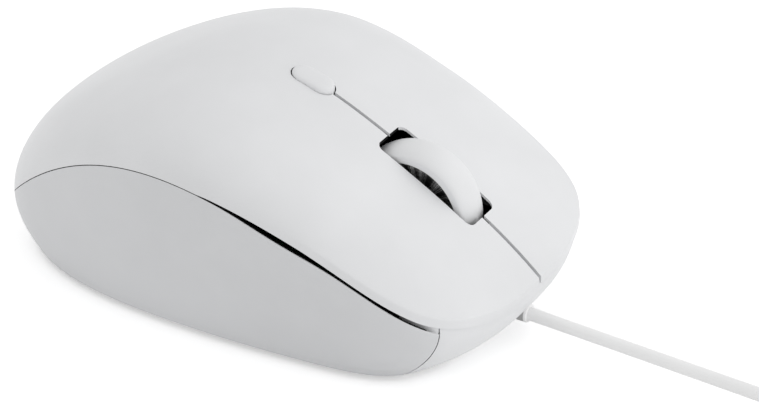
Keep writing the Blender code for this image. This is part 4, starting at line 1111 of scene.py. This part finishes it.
def build_cable(with_pieces):
    points = cable_route()
    data = bpy.data.curves.new("cable_cord", "CURVE")
    data.dimensions = "3D"
    line = data.splines.new("POLY")
    line.points.add(len(points) - 1)
    for point, spot in zip(line.points, points):
        point.co = (*spot, 1.0)
    line.use_smooth = True
    data.bevel_depth = CABLE_RADIUS
    data.bevel_resolution = CABLE_ROUNDNESS
    data.use_fill_caps = True
    cord = add("cable_cord", data, SHEATH)
    place(cord, "case", "cable_sheath", "cable", "cable_coil", "cable_tail")


def build_ring():
    ring = lathe("exit_ring", RING_PROFILE, EXIT, (0, 1, 0), SHEATH, NECK_SIDES)
    place(ring, "case", "cable_sheath", "cable_grommet")


def lying_loop(size, corner, y):
    """A rounded rectangle across the plug's axis."""
    return [(COIL_CENTRE[0] - x, y, PLUG_Z + z) for x, z in rounded_rectangle((0, 0), size, corner)]


def smaller(size, by):
    return [side - by for side in size]


def build_plug_body():
    loops = []
    for along, across, high in PLUG_STAGES:
        corner = min(PLUG_CORNER, PLUG_CORNER_SHARE * high)
        loops.append(lying_loop((across, high), corner, PLUG_REAR + along))
    for along in RIB_PLACES:
        for step, sunk in RIB_PROFILE:
            size = (PLUG_SIZE[0] - sunk, PLUG_SIZE[1] - RIB_FLATNESS * sunk)
            loops.append(lying_loop(size, PLUG_CORNER, PLUG_REAR + along + step))
    for before, shrink in PLUG_END:
        y = PLUG_REAR + PLUG_LENGTH - before
        loops.append(lying_loop(smaller(PLUG_SIZE, shrink), PLUG_END_CORNER, y))
    return place(loft("plug_body", loops, SHEATH), "case", "cable_sheath", "usb_overmould")


def build_plug_shell():
    front = USB_REAR + USB_LENGTH
    outside = [lying_loop(USB_SIZE, USB_CORNER, y) for y in (USB_REAR, front - USB_LIP)]
    outside.append(lying_loop(smaller(USB_SIZE, USB_LIP_SHRINK), USB_LIP_CORNER, front))
    hollow = smaller(USB_SIZE, 2 * USB_SKIN)
    inside = [lying_loop(hollow, HOLLOW_CORNER, y) for y in (USB_REAR + USB_SKIN, front + USB_SKIN)]
    made = loft("plug_shell", outside, STEEL)
    # The walls of the hollow and of the latch holes get painted shade
    cutters = [loft("plug_hollow", inside, DARK_PAINTED_SHADE)]
    for side in (-1, 1):
        spot = (COIL_CENTRE[0] + side * LATCH_X, USB_REAR + LATCH_Y, PLUG_Z)
        cutters.append(soft_box("latch_hole", spot, LATCH_SIZE, 0, DARK_PAINTED_SHADE))
    cut(made, *cutters)
    return place(made, "case", "steel", "usb_shell")


def build_plug_tongue():
    """The plug's tongue under the roof of its shell."""
    spot = (COIL_CENTRE[0], USB_REAR + PLUG_TONGUE_Y, (PLUG_TONGUE_TOP + PLUG_TONGUE_BOTTOM) / 2)
    tongue = soft_box("plug_tongue", spot, PLUG_TONGUE_SIZE, PLUG_TONGUE_EDGE, SKATE)
    return place(tongue, "case", "white_shell", "usb_tongue")


def build_contact(k):
    x, length = CONTACTS[k]
    y = USB_REAR + CONTACT_FRONT - length / 2
    spot = (COIL_CENTRE[0] + x, y, PLUG_TONGUE_BOTTOM - CONTACT_DROP)
    size = (CONTACT_WIDTH, length, CONTACT_HEIGHT)
    contact = soft_box(f"plug_contact_{k}", spot, size, CONTACT_EDGE, GOLD, segments=1)
    return place(contact, "case", "steel")


def build_strap():
    """A flat strap round the coil."""
    shape = bmesh.new()
    rings = []
    for proud, along in TIE_PROFILE:
        outline = rounded_rectangle(TIE_MIDDLE, smaller(TIE_SIZE, -2 * proud), TIE_CORNER + proud)
        rings.append([shape.verts.new((x, COIL_CENTRE[1] + along, z)) for x, z in outline])
    bridge(shape, rings, closed=True)
    return place(from_bmesh("tie_strap", shape, SHEATH), "case", "cable_sheath", "cable_tie")


def build_buckle():
    """The buckle that holds the strap."""
    x = TIE_MIDDLE[0] + TIE_SIZE[0] / 2 - BUCKLE_SUNK
    spot = (x, COIL_CENTRE[1], TIE_MIDDLE[1] + BUCKLE_RISE)
    buckle = soft_box("tie_buckle", spot, BUCKLE_SIZE, BUCKLE_EDGE, SHEATH)
    return place(buckle, "case", "cable_sheath")


# Inner pieces: a spring at rest, and the rest as the CAD model has them

def build_spring():
    """The spring under the wheel's carrier, built at its resting length; the real one shortens as the wheel
    is pressed.
    """
    ends = (SPRING_ENDS[0] + SPRING_WIRE, SPRING_ENDS[1] - SPRING_WIRE)
    steps = SPRING_TURNS * SPRING_STEPS
    section = circle((0, 0), SPRING_WIRE, SPRING_SIDES)
    up = Vector((0, 0, 1))
    loops = []
    for step in range(steps + 1):
        angle = 2 * math.pi * step / SPRING_STEPS
        out = Vector((math.cos(angle), math.sin(angle), 0))
        centre = Vector((0, SPRING_Y, between(ends, step / steps))) + out * SPRING_RADIUS
        loops.append([centre + out * x + up * z for x, z in section])
    spring = place(loft("spring_coil", loops, STEEL), "case", "steel", "carrier_spring")
    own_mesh(spring)


NODE_FINISHES = {
    "steel": STEEL,
    "board": BOARD,
    "clear_lens": LENS,
    "black_plastic": BLACK,
    "white_shell": SHELL,
    "cable_sheath": SHEATH,
    "skate": SKATE,
}


def finish_nodes():
    """Gives each CAD solid that stays the finish of its slot."""
    slots = {part["node"]: part["material_slot"] for part in frame["record"]["subparts"]}
    for node, made in frame["nodes"].items():
        finish = NODE_FINISHES.get(slots.get(node), SHELL)
        if not made.material_slots:
            made.data.materials.append(finish)
        for slot in made.material_slots:
            slot.material = finish


# Camera, floor and light

def build_camera():
    right = Vector((-math.sin(CAMERA_TURN), math.cos(CAMERA_TURN), 0))
    toward = Vector((math.cos(CAMERA_TURN), math.sin(CAMERA_TURN), 0))
    back = toward * math.cos(CAMERA_RISE) + Vector((0, 0, math.sin(CAMERA_RISE)))
    up = back.cross(right)
    shift = right * CAMERA_SHIFT[0] + up * CAMERA_SHIFT[1]
    spot = Vector(CAMERA_TARGET) + back * CAMERA_DISTANCE - shift
    data = bpy.data.cameras.new("camera")
    data.sensor_fit = "HORIZONTAL"
    data.sensor_width = SENSOR_WIDTH
    data.lens = CAMERA_LENS
    data.clip_start = CAMERA_CLIP
    made = add("camera", data)
    turn = Matrix((right, up, back)).transposed()
    made.matrix_world = Matrix.Translation(spot) @ turn.to_4x4()
    bpy.context.scene.camera = made


def seen_directly(tree):
    """A value that is 1 for what the camera, a mirror or a lens sees, and 0 for light."""
    path = add_node(tree, "ShaderNodeLightPath")
    seen = path.outputs["Is Camera Ray"]
    for ray in ("Is Glossy Ray", "Is Transmission Ray"):
        either = add_node(tree, "ShaderNodeMath", operation="MAXIMUM")
        tree.links.new(seen, either.inputs[0])
        tree.links.new(path.outputs[ray], either.inputs[1])
        seen = either.outputs[0]
    return seen


def build_world():
    world = bpy.data.worlds.new("studio")
    bpy.context.scene.world = world
    world.use_nodes = True
    tree = world.node_tree
    strength = add_node(tree, "ShaderNodeMapRange", To_Min=WORLD_LIGHT, To_Max=1.0)
    tree.links.new(seen_directly(tree), strength.inputs["Value"])
    background = set_values(tree.nodes["Background"], Color=WHITE)
    tree.links.new(strength.outputs["Result"], background.inputs["Strength"])


def build_ground():
    made, tree, shader = new_material("pale_floor")
    tone = (FLOOR_TONE, FLOOR_TONE, FLOOR_TONE, 1.0)
    set_values(shader, Base_Color=tone, Roughness=0.9, Specular_IOR_Level=0.0, Emission_Color=WHITE)
    glow = add_node(tree, "ShaderNodeMath", operation="MULTIPLY")
    glow.inputs[1].default_value = FLOOR_GLOW
    tree.links.new(seen_directly(tree), glow.inputs[0])
    tree.links.new(glow.outputs[0], shader.inputs["Emission Strength"])
    shape = bmesh.new()
    bmesh.ops.create_grid(shape, x_segments=1, y_segments=1, size=FLOOR_SIZE)
    floor = from_bmesh("floor", shape, made)


def build_lamps():
    for name, spot, size, energy in LAMPS:
        data = bpy.data.lights.new(name, "AREA")
        data.size = size
        data.energy = energy
        lamp = add(name, data)
        lamp.location = spot
        lamp.rotation_euler = (Vector(spot) - Vector(CAMERA_TARGET)).to_track_quat("Z", "Y").to_euler()


def build():
    bpy.context.scene.view_settings.view_transform = "Standard"
    build_camera()
    build_world()
    build_ground()
    build_lamps()
    finish_nodes()
    plug = [build_plug_body(), build_plug_shell(), build_plug_tongue()]
    contacts = [build_contact(k) for k in range(len(CONTACTS))]
    build_cable([*plug, *contacts, build_strap(), build_buckle()])
    build_ring()
    build_palm()
    for name, side in (("right", 1), ("left", -1)):
        build_key(name, side)
        build_side(name, side)
        build_tongue(name, side)
    build_pill()
    build_front_wall()
    build_neck()
    build_floor()
    build_skates()
    build_screws()
    build_spring()
    build_tyre()
    build_hub()


build()
